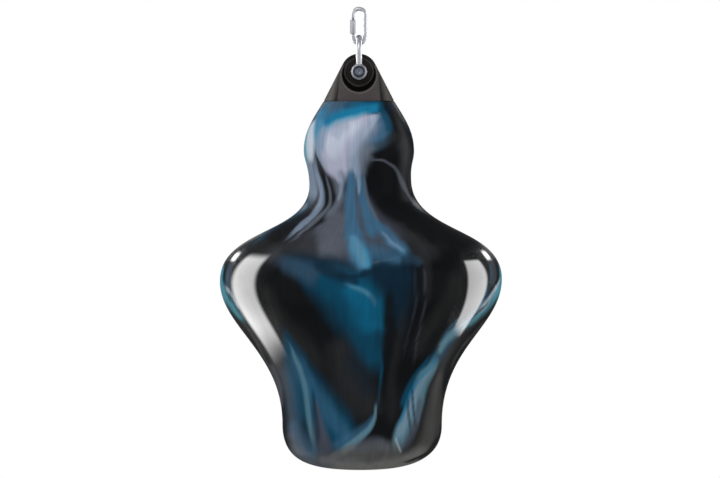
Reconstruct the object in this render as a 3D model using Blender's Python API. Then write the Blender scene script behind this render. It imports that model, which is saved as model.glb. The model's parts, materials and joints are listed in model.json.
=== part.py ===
"""A water-filled training bag that hangs from a quick link and a shackle.

Lengths are in metres and +Z is up. The origin is the inside top of the quick link, where a
ceiling hook takes the load. The nut on the eye faces -Y, and the filling valve is at the back.
Three empties carry the pieces that move: one on the link's lower bend, one on the bolt and one
on the valve.
"""

from math import acos, atan2, cos, hypot, pi, radians, sin, tan

import bmesh
import bpy
from mathutils import Matrix, Vector

# Room between pieces that touch or turn in each other
GAP = 0.0003

# Quick link: a wire bent to a long C, closed by a hexagonal screw sleeve
LINK_WIRE = 0.006
LINK_LENGTH = 0.0586
LINK_WIDTH = 0.025
LINK_STUB = 0.0081  # straight wire between the lower bend and the throat
LINK_THROAT = 0.0065  # height of the opening that the sleeve covers
SLEEVE_FLATS = 0.0085
SLEEVE_LENGTH = 0.0205
SLEEVE_LAP = 0.003  # how far the closed sleeve grips the stub
SLEEVE_EDGE = 0.0005  # how far its ends are chamfered in from the flats

# Shackle: a bent rod with two eyes, closed by a bolt
SHACKLE_ROD = 0.0095
SHACKLE_SPREAD = 0.030  # clear width between the eyes
SHACKLE_REACH = 0.0469  # from the inside of the bow to the bolt's axis
SHACKLE_EYE = 0.023  # outer diameter of the flattened eyes
SHACKLE_EYE_THICKNESS = 0.010

# Bolt, nut and washers
BOLT = 0.014
HEX_FLATS = 0.022
HEX_EDGE = 0.0004
BOLT_HEAD = 0.0088
BOLT_TAIL = 0.0015  # how far the bolt stands out of the nut
BOLT_TIP = 0.0012  # chamfer at the bolt's end
NUT_HEIGHT = 0.0135
NUT_COLLAR = 0.0030  # height of the round collar at the nut's outer end
NUT_COLLAR_WIDTH = 0.0205
LOCK_RING = 0.0175
LOCK_RING_HEIGHT = 0.0024
LOCK_RING_SINK = 0.0005  # depth of the ring's outer face in the collar
WASHER = 0.024
WASHER_THICKNESS = 0.002
BUSH = 0.020

# Eye cap: a rounded tab at the top that widens to a round rim on the bag
CAP_CROWN = 0.0275  # radius of the top about the bolt
CAP_RIM = 0.0538
CAP_DEPTH = 0.0453  # from the bolt's axis down to the rim
CAP_BAND = 0.002  # height of the round band below the slanted faces
CAP_FLANK = 0.0385  # radius of the round flank, level with the bolt
FACET_EYE = 0.0265  # from the middle to the slanted front face, level with the bolt
FACET_RIM = 0.0437  # the same at the rim
WEB = 0.028  # thickness of the web between the shackle's eyes
DISH_FLOOR = 0.0222  # radius of the round recess at its floor
DISH_STEP = 0.003  # height of that floor above the web
DISH_SLOPE = 0.45  # how much wider the recess gets for each unit outwards
POCKET_HALF = 0.0207  # half width of the pocket that bares the web, and its lower end's radius
POCKET_DROP = 0.0028  # how far below the bolt's axis its round end is centred
FAN_FOOT = 0.0026  # height above the bolt's axis where the pocket's sides start to lean out
FAN_LEAN = radians(22.6)
SPIGOT_DEPTH = 0.018
SPIGOT_BORE = 0.033  # radius of the hollow under the cap
SPIGOT_BORE_DEPTH = 0.024

# Bag outline, with depths below the bolt's axis. A pull is the length of the handle that
# keeps the curve upright above or below the place where the bag is widest or narrowest.
BAG_LIP = 0.0005  # how far the bag's rim stands out past the cap's
RIM_WIDTH = 0.0133
RIM_THICKNESS = 0.007
RIM_SLOPE = 0.62
RIM_PULL = 0.0328
HEAD_RADIUS = 0.0844
HEAD_DEPTH = 0.121
HEAD_PULL_ABOVE = 0.0295
HEAD_PULL_BELOW = 0.0151
NECK_RADIUS = 0.078
NECK_DEPTH = 0.1686
NECK_PULL_ABOVE = 0.0276
NECK_PULL_BELOW = 0.0803
SHOULDER_RADIUS = 0.2157
SHOULDER_DEPTH = 0.3185
SHOULDER_PULL_ABOVE = 0.0821
SHOULDER_PULL_BELOW = 0.0715
WAIST_RADIUS = 0.122
WAIST_DEPTH = 0.540
WAIST_PULL_ABOVE = 0.1158
WAIST_PULL_BELOW = 0.0646
BASE_DEPTH = 0.6085
BASE_PULL = 0.0579
WALL = 0.004

# Filling valve, on the back of the head
VALVE_PLACE = 0.5  # how far along the curve from the rim to the head
PAD_WIDTH = 0.038
PAD_HEIGHT = 0.0015
FLANGE_WIDTH = 0.034
FLANGE_HEIGHT = 0.003
BARREL_WIDTH = 0.022
BARREL_LENGTH = 0.0115
VALVE_BORE = 0.012
SEAL_WIDTH = 0.018
SEAL_HEIGHT = 0.002
PLUG_HEAD = 0.022
PLUG_HEAD_HEIGHT = 0.005
PLUG_SHANK = 0.0154
PLUG_SLOT = 0.003
PLUG_SLOT_DEPTH = 0.0022

# Fineness of the round pieces
BAG_ROUND = 40
CAP_ROUND = 48
HARDWARE_ROUND = 24
WIRE_ROUND = 16
BEND_STEPS = 12
CROWN_STEPS = 20
OUTER_STEPS = (5, 4, 8, 8, 7)
INNER_STEPS = (3, 3, 5, 5, 5)
INNER_START = 0.25  # where the inner wall leaves the rim, along the rim's curve
SHARP = radians(32)

UP = Vector((0, 1))


def clear_scene():
    for thing in list(bpy.data.objects):
        bpy.data.objects.remove(thing)


def finish(name, colour, roughness, metallic=0.0):
    made = bpy.data.materials.new(name)
    made.use_nodes = True
    shader = made.node_tree.nodes["Principled BSDF"]
    shader.inputs["Base Color"].default_value = (*colour, 1)
    shader.inputs["Roughness"].default_value = roughness
    shader.inputs["Metallic"].default_value = metallic
    return made


def marker(name, parent=None, place=(0, 0, 0), turn=(0, 0, 0)):
    made = bpy.data.objects.new(name, None)
    made.parent = parent
    made.location = place
    made.rotation_euler = turn
    made.empty_display_size = 0.02
    bpy.context.scene.collection.objects.link(made)
    return made


def shade(mesh):
    mesh.shade_smooth()
    mesh.set_sharp_from_angle(angle=SHARP)


def piece(name, shape, surface, parent, cuts=()):
    """Makes an object of a shape, and applies its cuts: pairs of an operation and a shape."""
    mesh = bpy.data.meshes.new(name)
    shape.to_mesh(mesh)
    shape.free()
    mesh.materials.append(surface)
    made = bpy.data.objects.new(name, mesh)
    made.parent = parent
    bpy.context.scene.collection.objects.link(made)
    tools = []
    for operation, tool_shape in cuts:
        tool = piece(f"{name}_tool", tool_shape, surface, parent)
        tool.hide_render = True
        tool.display_type = "WIRE"
        tools.append(tool)
        modifier = made.modifiers.new(operation.lower(), "BOOLEAN")
        modifier.operation = operation
        modifier.object = tool
    if tools:
        bpy.context.view_layer.update()
        graph = bpy.context.evaluated_depsgraph_get()
        made.data = bpy.data.meshes.new_from_object(made.evaluated_get(graph))
        made.data.name = name
        made.modifiers.clear()
    for tool in tools:
        bpy.data.objects.remove(tool)
    shade(made.data)
    return made


def turned(points, around, closed=False):
    """A solid turned about Z from points (radius, height). A closed outline makes a ring."""
    shape = bmesh.new()
    verts = [shape.verts.new((radius, 0, height)) for radius, height in points]
    pairs = list(zip(verts, verts[1:]))
    if closed:
        pairs.append((verts[-1], verts[0]))
    edges = [shape.edges.new(pair) for pair in pairs]
    bmesh.ops.spin(
        shape,
        geom=verts + edges,
        cent=(0, 0, 0),
        axis=(0, 0, 1),
        angle=2 * pi,
        steps=around,
        use_merge=True,
    )
    bmesh.ops.remove_doubles(shape, verts=shape.verts, dist=1e-6)
    bmesh.ops.recalc_face_normals(shape, faces=shape.faces)
    return shape


def ring(bore, width, low, high, around=HARDWARE_ROUND):
    """A flat ring between two heights, from the diameters of its hole and its rim."""
    outline = [(bore / 2, low), (width / 2, low), (width / 2, high), (bore / 2, high)]
    return turned(outline, around, closed=True)


def cylinder(width, low, high, around=HARDWARE_ROUND):
    return turned([(0, low), (width / 2, low), (width / 2, high), (0, high)], around)


def placed(shape, matrix):
    bmesh.ops.transform(shape, matrix=matrix, verts=shape.verts)
    return shape


def hexagon(flats, low, high):
    """A six-sided prism about Z with a corner on the X axis."""
    corner = flats / 2 / cos(pi / 6)
    points = [(corner * cos(k * pi / 3), corner * sin(k * pi / 3)) for k in range(6)]
    return prism(points, low, high)


def prism(points, low, high):
    """An outline in X and Y, drawn out along Z."""
    shape = bmesh.new()
    base = shape.faces.new([shape.verts.new((x, y, low)) for x, y in points])
    drawn = bmesh.ops.extrude_face_region(shape, geom=[base])["geom"]
    raised = [part for part in drawn if isinstance(part, bmesh.types.BMVert)]
    bmesh.ops.translate(shape, verts=raised, vec=(0, 0, high - low))
    bmesh.ops.recalc_face_normals(shape, faces=shape.faces)
    return shape


def hexagon_edges(flats, edge, low, high):
    """The turned body that takes the corners off a hexagon's two ends."""
    inner = flats / 2 - edge
    outer = flats / 2 / cos(pi / 6) + edge
    fall = (outer - inner) * tan(pi / 6)
    outline = [(0, low), (inner, low), (outer, low + fall)]
    outline += [(outer, high - fall), (inner, high), (0, high)]
    return turned(outline, HARDWARE_ROUND)


def bent_rod(width, around, foot, moves):
    """A round rod that starts upwards at foot. A move is a run (vector) or a bend about an axis
    through a centre."""
    shape = bmesh.new()
    start = bmesh.ops.create_circle(shape, cap_ends=True, radius=width / 2, segments=around)
    bmesh.ops.translate(shape, verts=start["verts"], vec=foot)
    shape.faces.ensure_lookup_table()
    end = [shape.faces[0]]
    inside = []
    for move in moves:
        if "run" in move:
            drawn = bmesh.ops.extrude_face_region(shape, geom=end)["geom"]
            ahead = [part for part in drawn if isinstance(part, bmesh.types.BMVert)]
            bmesh.ops.translate(shape, verts=ahead, vec=move["run"])
        else:
            drawn = bmesh.ops.spin(
                shape,
                geom=end,
                cent=move["centre"],
                axis=move["axis"],
                angle=move["angle"],
                steps=BEND_STEPS,
            )["geom_last"]
        end = [part for part in drawn if isinstance(part, bmesh.types.BMFace)]
        inside += end
    bmesh.ops.delete(shape, geom=inside[:-1], context="FACES_ONLY")
    bmesh.ops.recalc_face_normals(shape, faces=shape.faces)
    return shape


def link_bends():
    """The radius of the link's two bends, and the heights of their centres."""
    bend = (LINK_WIDTH - LINK_WIRE) / 2
    upper = LINK_WIRE / 2 - bend
    lower = upper - (LINK_LENGTH - LINK_WIDTH)
    return bend, upper, lower


def bolt_height():
    """The height of the bolt above the wire of the link's lower bend, which the bow hangs on."""
    return LINK_WIRE / 2 + GAP - SHACKLE_REACH


def add_link(steel, hang_point):
    bend, upper, lower = link_bends()
    throat_low = lower + LINK_STUB
    throat_high = throat_low + LINK_THROAT
    moves = (
        {"run": (0, 0, upper - throat_high)},
        {"centre": (0, 0, upper), "axis": (0, 1, 0), "angle": pi},
        {"run": (0, 0, lower - upper)},
        {"centre": (0, 0, lower), "axis": (0, 1, 0), "angle": pi},
        {"run": (0, 0, LINK_STUB)},
    )
    wire = bent_rod(LINK_WIRE, WIRE_ROUND, (-bend, 0, throat_high), moves)
    piece("link_body", wire, steel, hang_point)
    leg = marker("sleeve_axis", hang_point, (-bend, 0, throat_low - SLEEVE_LAP))
    bore = cylinder(LINK_WIRE + 2 * GAP, -LINK_WIRE, SLEEVE_LENGTH + LINK_WIRE)
    corner_to_front = Matrix.Rotation(pi / 2, 4, "Z")
    cuts = (
        ("INTERSECT", hexagon_edges(SLEEVE_FLATS, SLEEVE_EDGE, 0, SLEEVE_LENGTH)),
        ("DIFFERENCE", bore),
    )
    body = hexagon(SLEEVE_FLATS, -SLEEVE_EDGE, SLEEVE_LENGTH + SLEEVE_EDGE)
    piece("link_sleeve", placed(body, corner_to_front), steel, leg, cuts)


def add_shackle(steel, link_pivot, bolt_axis):
    """The bow hangs on the link's lower bend, and its eyes stand on both sides of the web."""
    leg = (SHACKLE_SPREAD + SHACKLE_EYE_THICKNESS) / 2
    bow_height = bolt_height() + SHACKLE_REACH + SHACKLE_ROD / 2 - leg
    hole = BOLT + 2 * GAP
    foot = bolt_height() + (hole + SHACKLE_EYE) / 4
    moves = (
        {"run": (0, 0, bow_height - foot)},
        {"centre": (0, 0, bow_height), "axis": (1, 0, 0), "angle": -pi},
        {"run": (0, 0, foot - bow_height)},
    )
    rod = bent_rod(SHACKLE_ROD, WIRE_ROUND, (0, -leg, foot), moves)
    across = Matrix.Translation((0, 0, bolt_height())) @ Matrix.Rotation(pi / 2, 4, "X")
    inner = SHACKLE_SPREAD / 2
    outer = inner + SHACKLE_EYE_THICKNESS
    cuts = (
        ("UNION", placed(cylinder(SHACKLE_EYE, inner, outer), across)),
        ("UNION", placed(cylinder(SHACKLE_EYE, -outer, -inner), across)),
        ("DIFFERENCE", placed(cylinder(hole, -2 * outer, 2 * outer), across)),
    )
    piece("shackle_bow", rod, steel, link_pivot, cuts)
    bush_end = inner - GAP
    piece("eye_bush", ring(hole, BUSH, -bush_end, bush_end), steel, bolt_axis)
    return outer + GAP


def add_bolt(steel, nylon, bolt_axis, seat):
    """The bolt lies along the marker's Z, which points to the front, with its nut there."""
    hole = BOLT + 2 * GAP
    washer_end = seat + WASHER_THICKNESS
    piece("washer_front", ring(hole, WASHER, seat, washer_end), steel, bolt_axis)
    piece("washer_back", ring(hole, WASHER, -washer_end, -seat), steel, bolt_axis)
    nut_low = washer_end + GAP
    nut_high = nut_low + NUT_HEIGHT
    hex_high = nut_high - NUT_COLLAR
    ring_high = nut_high - LOCK_RING_SINK
    ring_low = ring_high - LOCK_RING_HEIGHT
    collar = cylinder(NUT_COLLAR_WIDTH, hex_high - NUT_COLLAR, nut_high)
    seat_for_ring = cylinder(LOCK_RING + 2 * GAP, ring_low - GAP, nut_high + NUT_COLLAR)
    cuts = (
        ("INTERSECT", hexagon_edges(HEX_FLATS, HEX_EDGE, nut_low, hex_high)),
        ("UNION", collar),
        ("DIFFERENCE", cylinder(hole, nut_low - HEX_FLATS, nut_high + HEX_FLATS)),
        ("DIFFERENCE", seat_for_ring),
    )
    body = hexagon(HEX_FLATS, nut_low - HEX_EDGE, hex_high + HEX_EDGE)
    piece("shackle_nut", body, steel, bolt_axis, cuts)
    piece("nut_lock_ring", ring(hole, LOCK_RING, ring_low, ring_high), nylon, bolt_axis)
    head_high = -washer_end - GAP
    head_low = head_high - BOLT_HEAD
    tip = nut_high + BOLT_TAIL
    shank = [
        (0, head_high - BOLT_HEAD / 2),
        (BOLT / 2, head_high - BOLT_HEAD / 2),
        (BOLT / 2, tip - BOLT_TIP),
        (BOLT / 2 - BOLT_TIP, tip),
        (0, tip),
    ]
    cuts = (
        ("INTERSECT", hexagon_edges(HEX_FLATS, HEX_EDGE, head_low, head_high)),
        ("UNION", turned(shank, HARDWARE_ROUND)),
    )
    body = hexagon(HEX_FLATS, head_low - HEX_EDGE, head_high + HEX_EDGE)
    piece("shackle_bolt", body, steel, bolt_axis, cuts)


def cap_outline():
    """The cap's shape from the front: a round crown and the straight sides that touch it."""
    slope = (CAP_RIM - CAP_FLANK) / CAP_DEPTH
    band_height = CAP_BAND - CAP_DEPTH
    band_radius = CAP_RIM - slope * CAP_BAND
    distance = hypot(band_radius, band_height)
    touch = atan2(band_height, band_radius) + acos(CAP_CROWN / distance)
    foot = band_radius + CAP_BAND * tan(touch)
    arc = [touch + (pi - 2 * touch) * k / CROWN_STEPS for k in range(CROWN_STEPS + 1)]
    crown = [(CAP_CROWN * cos(angle), CAP_CROWN * sin(angle)) for angle in arc]
    return [(foot, -CAP_DEPTH), *crown, (-foot, -CAP_DEPTH)]


def facet(side):
    """The block that leaves the slanted face at the front (side -1) or the back (side 1)."""
    slope = (FACET_RIM - FACET_EYE) / CAP_DEPTH
    low = CAP_BAND - CAP_DEPTH
    high = 2 * CAP_CROWN
    beyond = 2 * CAP_RIM
    corners = [
        (FACET_EYE - slope * low, low),
        (beyond, low),
        (beyond, high),
        (FACET_EYE - slope * high, high),
    ]
    block = prism([(side * y, z) for y, z in corners], -beyond, beyond)
    return placed(block, Matrix(((0, 0, 1, 0), (1, 0, 0, 0), (0, 1, 0, 0), (0, 0, 0, 1))))


def pocket_outline():
    """The pocket from the front: a round lower end, and a fan in which the shackle swings."""
    top = 2 * CAP_CROWN
    reach = POCKET_HALF + (top - FAN_FOOT) * tan(FAN_LEAN)
    turns = [-pi * k / CROWN_STEPS for k in range(CROWN_STEPS + 1)]
    end = [(POCKET_HALF * cos(turn), POCKET_HALF * sin(turn) - POCKET_DROP) for turn in turns]
    return [(-POCKET_HALF, FAN_FOOT), (-reach, top), (reach, top), (POCKET_HALF, FAN_FOOT), *end]


def add_cap(moulded, eye_pivot):
    along_y = Matrix.Rotation(pi / 2, 4, "X")
    beyond = 2 * CAP_RIM
    slope = (CAP_RIM - CAP_FLANK) / CAP_DEPTH
    low = -2 * CAP_DEPTH
    high = 2 * CAP_CROWN
    flank = [(0, low), (CAP_FLANK - slope * low, low), (CAP_FLANK - slope * high, high), (0, high)]
    cuts = [("INTERSECT", turned(flank, CAP_ROUND))]
    dish_floor = WEB / 2 + DISH_STEP
    dish_rim = DISH_FLOOR + DISH_SLOPE * (beyond - dish_floor)
    dish = [(0, dish_floor), (DISH_FLOOR, dish_floor), (dish_rim, beyond), (0, beyond)]
    for side in (-1, 1):
        turn = along_y if side < 0 else Matrix.Rotation(pi, 4, "Z") @ along_y
        cuts.append(("DIFFERENCE", facet(side)))
        cuts.append(("DIFFERENCE", placed(turned(dish, CAP_ROUND), turn)))
        cuts.append(("DIFFERENCE", placed(prism(pocket_outline(), WEB / 2, beyond), turn)))
    bush_hole = cylinder(BUSH + 2 * GAP, -beyond, beyond)
    cuts.append(("DIFFERENCE", placed(bush_hole, along_y)))
    spigot_low = -CAP_DEPTH - SPIGOT_DEPTH
    spigot_top = CAP_BAND / 2 - CAP_DEPTH
    spigot = cylinder(2 * (mouth_radius() - GAP), spigot_low, spigot_top, CAP_ROUND)
    cuts.append(("UNION", spigot))
    hollow_top = spigot_low + SPIGOT_BORE_DEPTH
    hollow = cylinder(2 * SPIGOT_BORE, spigot_low - CAP_DEPTH, hollow_top, CAP_ROUND)
    cuts.append(("DIFFERENCE", hollow))
    body = placed(prism(cap_outline(), -beyond, beyond), along_y)
    piece("eye_cap", body, moulded, eye_pivot, cuts)


def mouth_radius():
    return CAP_RIM + BAG_LIP - RIM_WIDTH


def spans():
    """The bag's side from rim to base as cubic curves, each of four points (radius, height)."""
    rim = Vector((CAP_RIM + BAG_LIP, -CAP_DEPTH - GAP))
    head = Vector((HEAD_RADIUS, -HEAD_DEPTH))
    neck = Vector((NECK_RADIUS, -NECK_DEPTH))
    shoulder = Vector((SHOULDER_RADIUS, -SHOULDER_DEPTH))
    waist = Vector((WAIST_RADIUS, -WAIST_DEPTH))
    base = Vector((0, -BASE_DEPTH))
    leave = Vector((RIM_SLOPE, -1)).normalized()
    return (
        (rim, rim + RIM_PULL * leave, head + HEAD_PULL_ABOVE * UP, head),
        (head, head - HEAD_PULL_BELOW * UP, neck + NECK_PULL_ABOVE * UP, neck),
        (neck, neck - NECK_PULL_BELOW * UP, shoulder + SHOULDER_PULL_ABOVE * UP, shoulder),
        (shoulder, shoulder - SHOULDER_PULL_BELOW * UP, waist + WAIST_PULL_ABOVE * UP, waist),
        (waist, waist - WAIST_PULL_BELOW * UP, base + Vector((BASE_PULL, 0)), base),
    )


def on_span(span, share):
    """The point at this share of a curve, and the unit vector there that points out of the bag."""
    a, b, c, d = span
    rest = 1 - share
    point = rest**3 * a + 3 * rest**2 * share * b + 3 * rest * share**2 * c + share**3 * d
    way = rest**2 * (b - a) + 2 * rest * share * (c - b) + share**2 * (d - c)
    return point, Vector((-way.y, way.x)).normalized()


def outline(inset, steps, first_span=0, start=0.0):
    """Points (radius, height) down the side from a span to the base, drawn in by inset."""
    points = []
    for number in range(first_span, len(steps)):
        begin = start if number == first_span else 0.0
        for k in range(steps[number]):
            share = begin + (1 - begin) * k / steps[number]
            point, out = on_span(spans()[number], share)
            points.append(point - inset * out)
    points.append(Vector((0, inset - BASE_DEPTH)))
    return points


def add_bag(skin, valve_axis, eye_pivot):
    top = -CAP_DEPTH - GAP
    mouth = mouth_radius()
    inner = outline(WALL, INNER_STEPS, start=INNER_START)
    side = outline(0, OUTER_STEPS)[::-1]
    profile = [*side, (mouth, top), (mouth, top - RIM_THICKNESS), *inner]
    on_valve = valve_axis.matrix_basis
    pad = placed(cylinder(PAD_WIDTH, -WALL, PAD_HEIGHT), on_valve)
    hole = placed(cylinder(BARREL_WIDTH + 2 * GAP, -PAD_WIDTH, PAD_WIDTH), on_valve)
    cuts = (("UNION", pad), ("DIFFERENCE", hole))
    piece("bag_shell", turned(profile, BAG_ROUND), skin, eye_pivot, cuts)


def add_water(water, eye_pivot):
    """The water stands up to the widest part of the head, clear of the valve."""
    side = outline(WALL + GAP, INNER_STEPS, first_span=1)
    profile = [(0, side[0].y), *side]
    piece("water_fill", turned(profile, BAG_ROUND), water, eye_pivot)


def add_valve(moulded, rubber, valve_axis):
    """The valve's pieces stand along the marker's Z, which points out of the bag."""
    flange_low = PAD_HEIGHT + GAP
    flange_high = flange_low + FLANGE_HEIGHT
    barrel = [
        (VALVE_BORE / 2, flange_low - BARREL_LENGTH),
        (BARREL_WIDTH / 2, flange_low - BARREL_LENGTH),
        (BARREL_WIDTH / 2, flange_low),
        (FLANGE_WIDTH / 2, flange_low),
        (FLANGE_WIDTH / 2, flange_high),
        (VALVE_BORE / 2, flange_high),
    ]
    body = turned(barrel, HARDWARE_ROUND, closed=True)
    piece("valve_body", body, moulded, valve_axis)
    seal_low = flange_high + GAP
    seal_high = seal_low + SEAL_HEIGHT
    piece("valve_seal", ring(VALVE_BORE, SEAL_WIDTH, seal_low, seal_high), rubber, valve_axis)
    head_low = seal_high + GAP
    head_high = head_low + PLUG_HEAD_HEIGHT
    shank = VALVE_BORE / 2 - GAP
    plug = [
        (0, head_low - PLUG_SHANK),
        (shank, head_low - PLUG_SHANK),
        (shank, head_low),
        (PLUG_HEAD / 2, head_low),
        (PLUG_HEAD / 2, head_high),
        (0, head_high),
    ]
    half = PLUG_SLOT / 2
    slot = [(PLUG_HEAD, half), (-PLUG_HEAD, half), (-PLUG_HEAD, -half), (PLUG_HEAD, -half)]
    cuts = (("DIFFERENCE", prism(slot, head_high - PLUG_SLOT_DEPTH, head_high + PLUG_HEAD)),)
    piece("valve_plug", turned(plug, HARDWARE_ROUND), moulded, valve_axis, cuts)


def build():
    clear_scene()
    steel = finish("zinc_steel", (0.72, 0.73, 0.75), 0.22, 1.0)
    nylon = finish("blue_nylon", (0.10, 0.16, 0.24), 0.45)
    moulded = finish("black_moulding", (0.035, 0.034, 0.036), 0.42)
    rubber = finish("black_rubber", (0.02, 0.02, 0.02), 0.8)
    skin = finish("marbled_vinyl", (0.03, 0.13, 0.22), 0.12)
    water = finish("water", (0.25, 0.45, 0.55), 0.05)
    bend, _, lower = link_bends()
    hang_point = marker("hang_point")
    link_pivot = marker("link_pivot", hang_point, (0, 0, lower - bend))
    bolt_axis = marker("bolt_axis", link_pivot, (0, 0, bolt_height()), (pi / 2, 0, 0))
    eye_pivot = marker("eye_pivot", link_pivot, (0, 0, bolt_height()))
    point, out = on_span(spans()[0], VALVE_PLACE)
    place = (0, point.x, point.y)
    valve_axis = marker("valve_axis", eye_pivot, place, (atan2(out.y, out.x) - pi / 2, 0, 0))
    add_link(steel, hang_point)
    seat = add_shackle(steel, link_pivot, bolt_axis)
    add_bolt(steel, nylon, bolt_axis, seat)
    add_cap(moulded, eye_pivot)
    add_bag(skin, valve_axis, eye_pivot)
    add_water(water, eye_pivot)
    add_valve(moulded, rubber, valve_axis)


build()
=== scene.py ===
import json
from math import cos, pi, radians, sin, tan

import bmesh
import bpy
import numpy as np
from mathutils import Matrix, Vector, noise


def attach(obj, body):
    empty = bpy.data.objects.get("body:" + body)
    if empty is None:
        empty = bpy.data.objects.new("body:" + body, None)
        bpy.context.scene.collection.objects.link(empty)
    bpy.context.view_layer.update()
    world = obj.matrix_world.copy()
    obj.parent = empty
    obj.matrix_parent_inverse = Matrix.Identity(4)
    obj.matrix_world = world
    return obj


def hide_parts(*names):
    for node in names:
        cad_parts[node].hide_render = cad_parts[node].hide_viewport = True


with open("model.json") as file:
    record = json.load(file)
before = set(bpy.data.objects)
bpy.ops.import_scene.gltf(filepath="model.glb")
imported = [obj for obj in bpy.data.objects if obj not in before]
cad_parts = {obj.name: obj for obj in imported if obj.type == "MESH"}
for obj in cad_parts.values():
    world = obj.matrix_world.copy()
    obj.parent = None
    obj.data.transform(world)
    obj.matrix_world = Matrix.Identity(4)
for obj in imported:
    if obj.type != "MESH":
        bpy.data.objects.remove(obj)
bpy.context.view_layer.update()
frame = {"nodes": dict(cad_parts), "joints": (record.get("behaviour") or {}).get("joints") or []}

# The looks of a water-filled training bag that hangs from a quick link and a shackle.
# Lengths are in metres. Places in the photograph are in its pixels, with y downwards.

# The photograph, and where its camera stands
PHOTO_WIDTH = 720
PHOTO_HEIGHT = 478
PIXEL = 0.00153  # what one pixel covers at the hook point
HOOK_X = 359.0
HOOK_Y = 10.9
CAMERA_DISTANCE = 9.0
CAMERA_HEIGHT = -0.14
SENSOR_MM = 36.0

# Bag outline, as depths below the bolt. A pull is the length of a handle of the curve.
BOLT_HEIGHT = next(joint["pos_m"][2] for joint in frame["joints"] if joint["name"] == "bag_swing")
GAP = 0.0003
CAP_RIM = 0.0538
CAP_DEPTH = 0.0453
BAG_LIP = 0.0005
FACET_EYE = 0.0265  # from the middle to the slanted front face, level with the bolt
FACET_SLOPE = 0.3797  # how much further out that face stands for each unit down
DISH_FLOOR = 0.0222  # radius of the round recess at its floor
DISH_DEPTH = 0.017  # from the middle to that floor
DISH_SLOPE = 0.45  # how much wider the recess gets for each unit outwards
RIM_WIDTH = 0.0133
RIM_THICKNESS = 0.007
RIM_SLOPE = 0.62
RIM_PULL = 0.0328
HEAD_RADIUS = 0.0844
HEAD_DEPTH = 0.121
HEAD_PULL_ABOVE = 0.0295
HEAD_PULL_BELOW = 0.0151
NECK_RADIUS = 0.078
NECK_DEPTH = 0.1686
NECK_PULL_ABOVE = 0.0276
NECK_PULL_BELOW = 0.0803
SHOULDER_RADIUS = 0.2157
SHOULDER_DEPTH = 0.3185
SHOULDER_PULL_ABOVE = 0.0821
SHOULDER_PULL_BELOW = 0.0715
WAIST_RADIUS = 0.122
WAIST_DEPTH = 0.540
WAIST_PULL_ABOVE = 0.1158
WAIST_PULL_BELOW = 0.0646
BASE_DEPTH = 0.6085
BASE_PULL = 0.0579
WALL = 0.004
BAG_ROUND = 240
VALVE_ROUND = 64
PAD_WIDTH = 0.038
PAD_HEIGHT = 0.0015
PAD_ROUNDING = 0.0012
PAD_STEPS = 5
BARREL_WIDTH = 0.022
OUTER_STEPS = (26, 30, 92, 100, 78)  # how many points each curve of the side has
INNER_STEPS = (8, 8, 12, 12, 10)
INNER_START = 0.25  # how far down the first curve the inner side starts
FRONT_CROWDING = 0.35  # how much closer the meridians stand at the front
CAP_VOXEL = 0.0009
CAP_RELAXING = 8

# Quick link
LINK_WIRE = 0.006
LINK_LENGTH = 0.0586
LINK_WIDTH = 0.025
LINK_STUB = 0.0081
LINK_THROAT = 0.0065
LINK_THREAD = 0.001
LINK_THREADS_BELOW = 5
LINK_THREADS_ABOVE = 16
LINK_THREAD_DEPTH = 0.00035
SLEEVE_FLATS = 0.0085
SLEEVE_LENGTH = 0.0205
SLEEVE_LAP = 0.003
SLEEVE_EDGE = 0.0005
SLEEVE_FLARE = 0.0002  # the bore's ends open by this much, clear of the bend when slid up
SLEEVE_ROUNDING = 0.00022
SLEEVE_TONE = 0.8

# Shackle, bolt, nut and washers
SHACKLE_ROD = 0.0095
SHACKLE_SPREAD = 0.030
SHACKLE_REACH = 0.0469
SHACKLE_EYE = 0.023
SHACKLE_EYE_THICKNESS = 0.010
SHACKLE_EYE_ROUNDING = 0.001
BOW_VOXEL = 0.00045
BOW_RELAXING = 6
BOLT = 0.014
BOLT_PITCH = 0.0015
BOLT_THREAD_DEPTH = 0.0004
BOLT_TONE = 0.9
HEX_FLATS = 0.022
HEX_EDGE = 0.0007
BOLT_HEAD = 0.0088
BOLT_TAIL = 0.0015
BOLT_TIP = 0.0012
BOLT_HEAD_ROUNDING = 0.0003
DIMPLE = 0.00616  # in the bolt's end, across its mouth
DIMPLE_FLOOR = 0.004312
DIMPLE_FOOT = 0.0006  # how deep its floor begins
DIMPLE_DEPTH = 0.0009
NUT_HEIGHT = 0.0135
NUT_COLLAR = 0.0030
NUT_COLLAR_WIDTH = 0.0205
NUT_COLLAR_ROUNDING = 0.0012
NUT_ROUNDING = 0.00025
NUT_CHAMFER = 0.0008
NUT_TONE = 0.74
LOCK_RING = 0.0175
LOCK_RING_HEIGHT = 0.0024
LOCK_RING_SINK = 0.0005
LOCK_RING_ROUNDING = 0.0005
WASHER = 0.024
WASHER_THICKNESS = 0.002
WASHER_ROUNDING = 0.0004
BUSH = 0.020
BUSH_ROUNDING = 0.0006
CUT_CLEAR = 0.0001  # how far outside a cut starts
EASED_SHARE = 2.1  # a rounding takes up less than one part in this of each side beside it
SAME_SPOT = 1e-7  # points of a turned shape that are nearer than this are merged
STEEL_ROUND = 96
WIRE_ROUND = 40
BEND_STEPS = 30

# Valve
FLANGE_WIDTH = 0.034
FLANGE_HEIGHT = 0.003
FLANGE_ROUNDING = 0.0006
GROOVE_DEPTH = 0.0005
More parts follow.
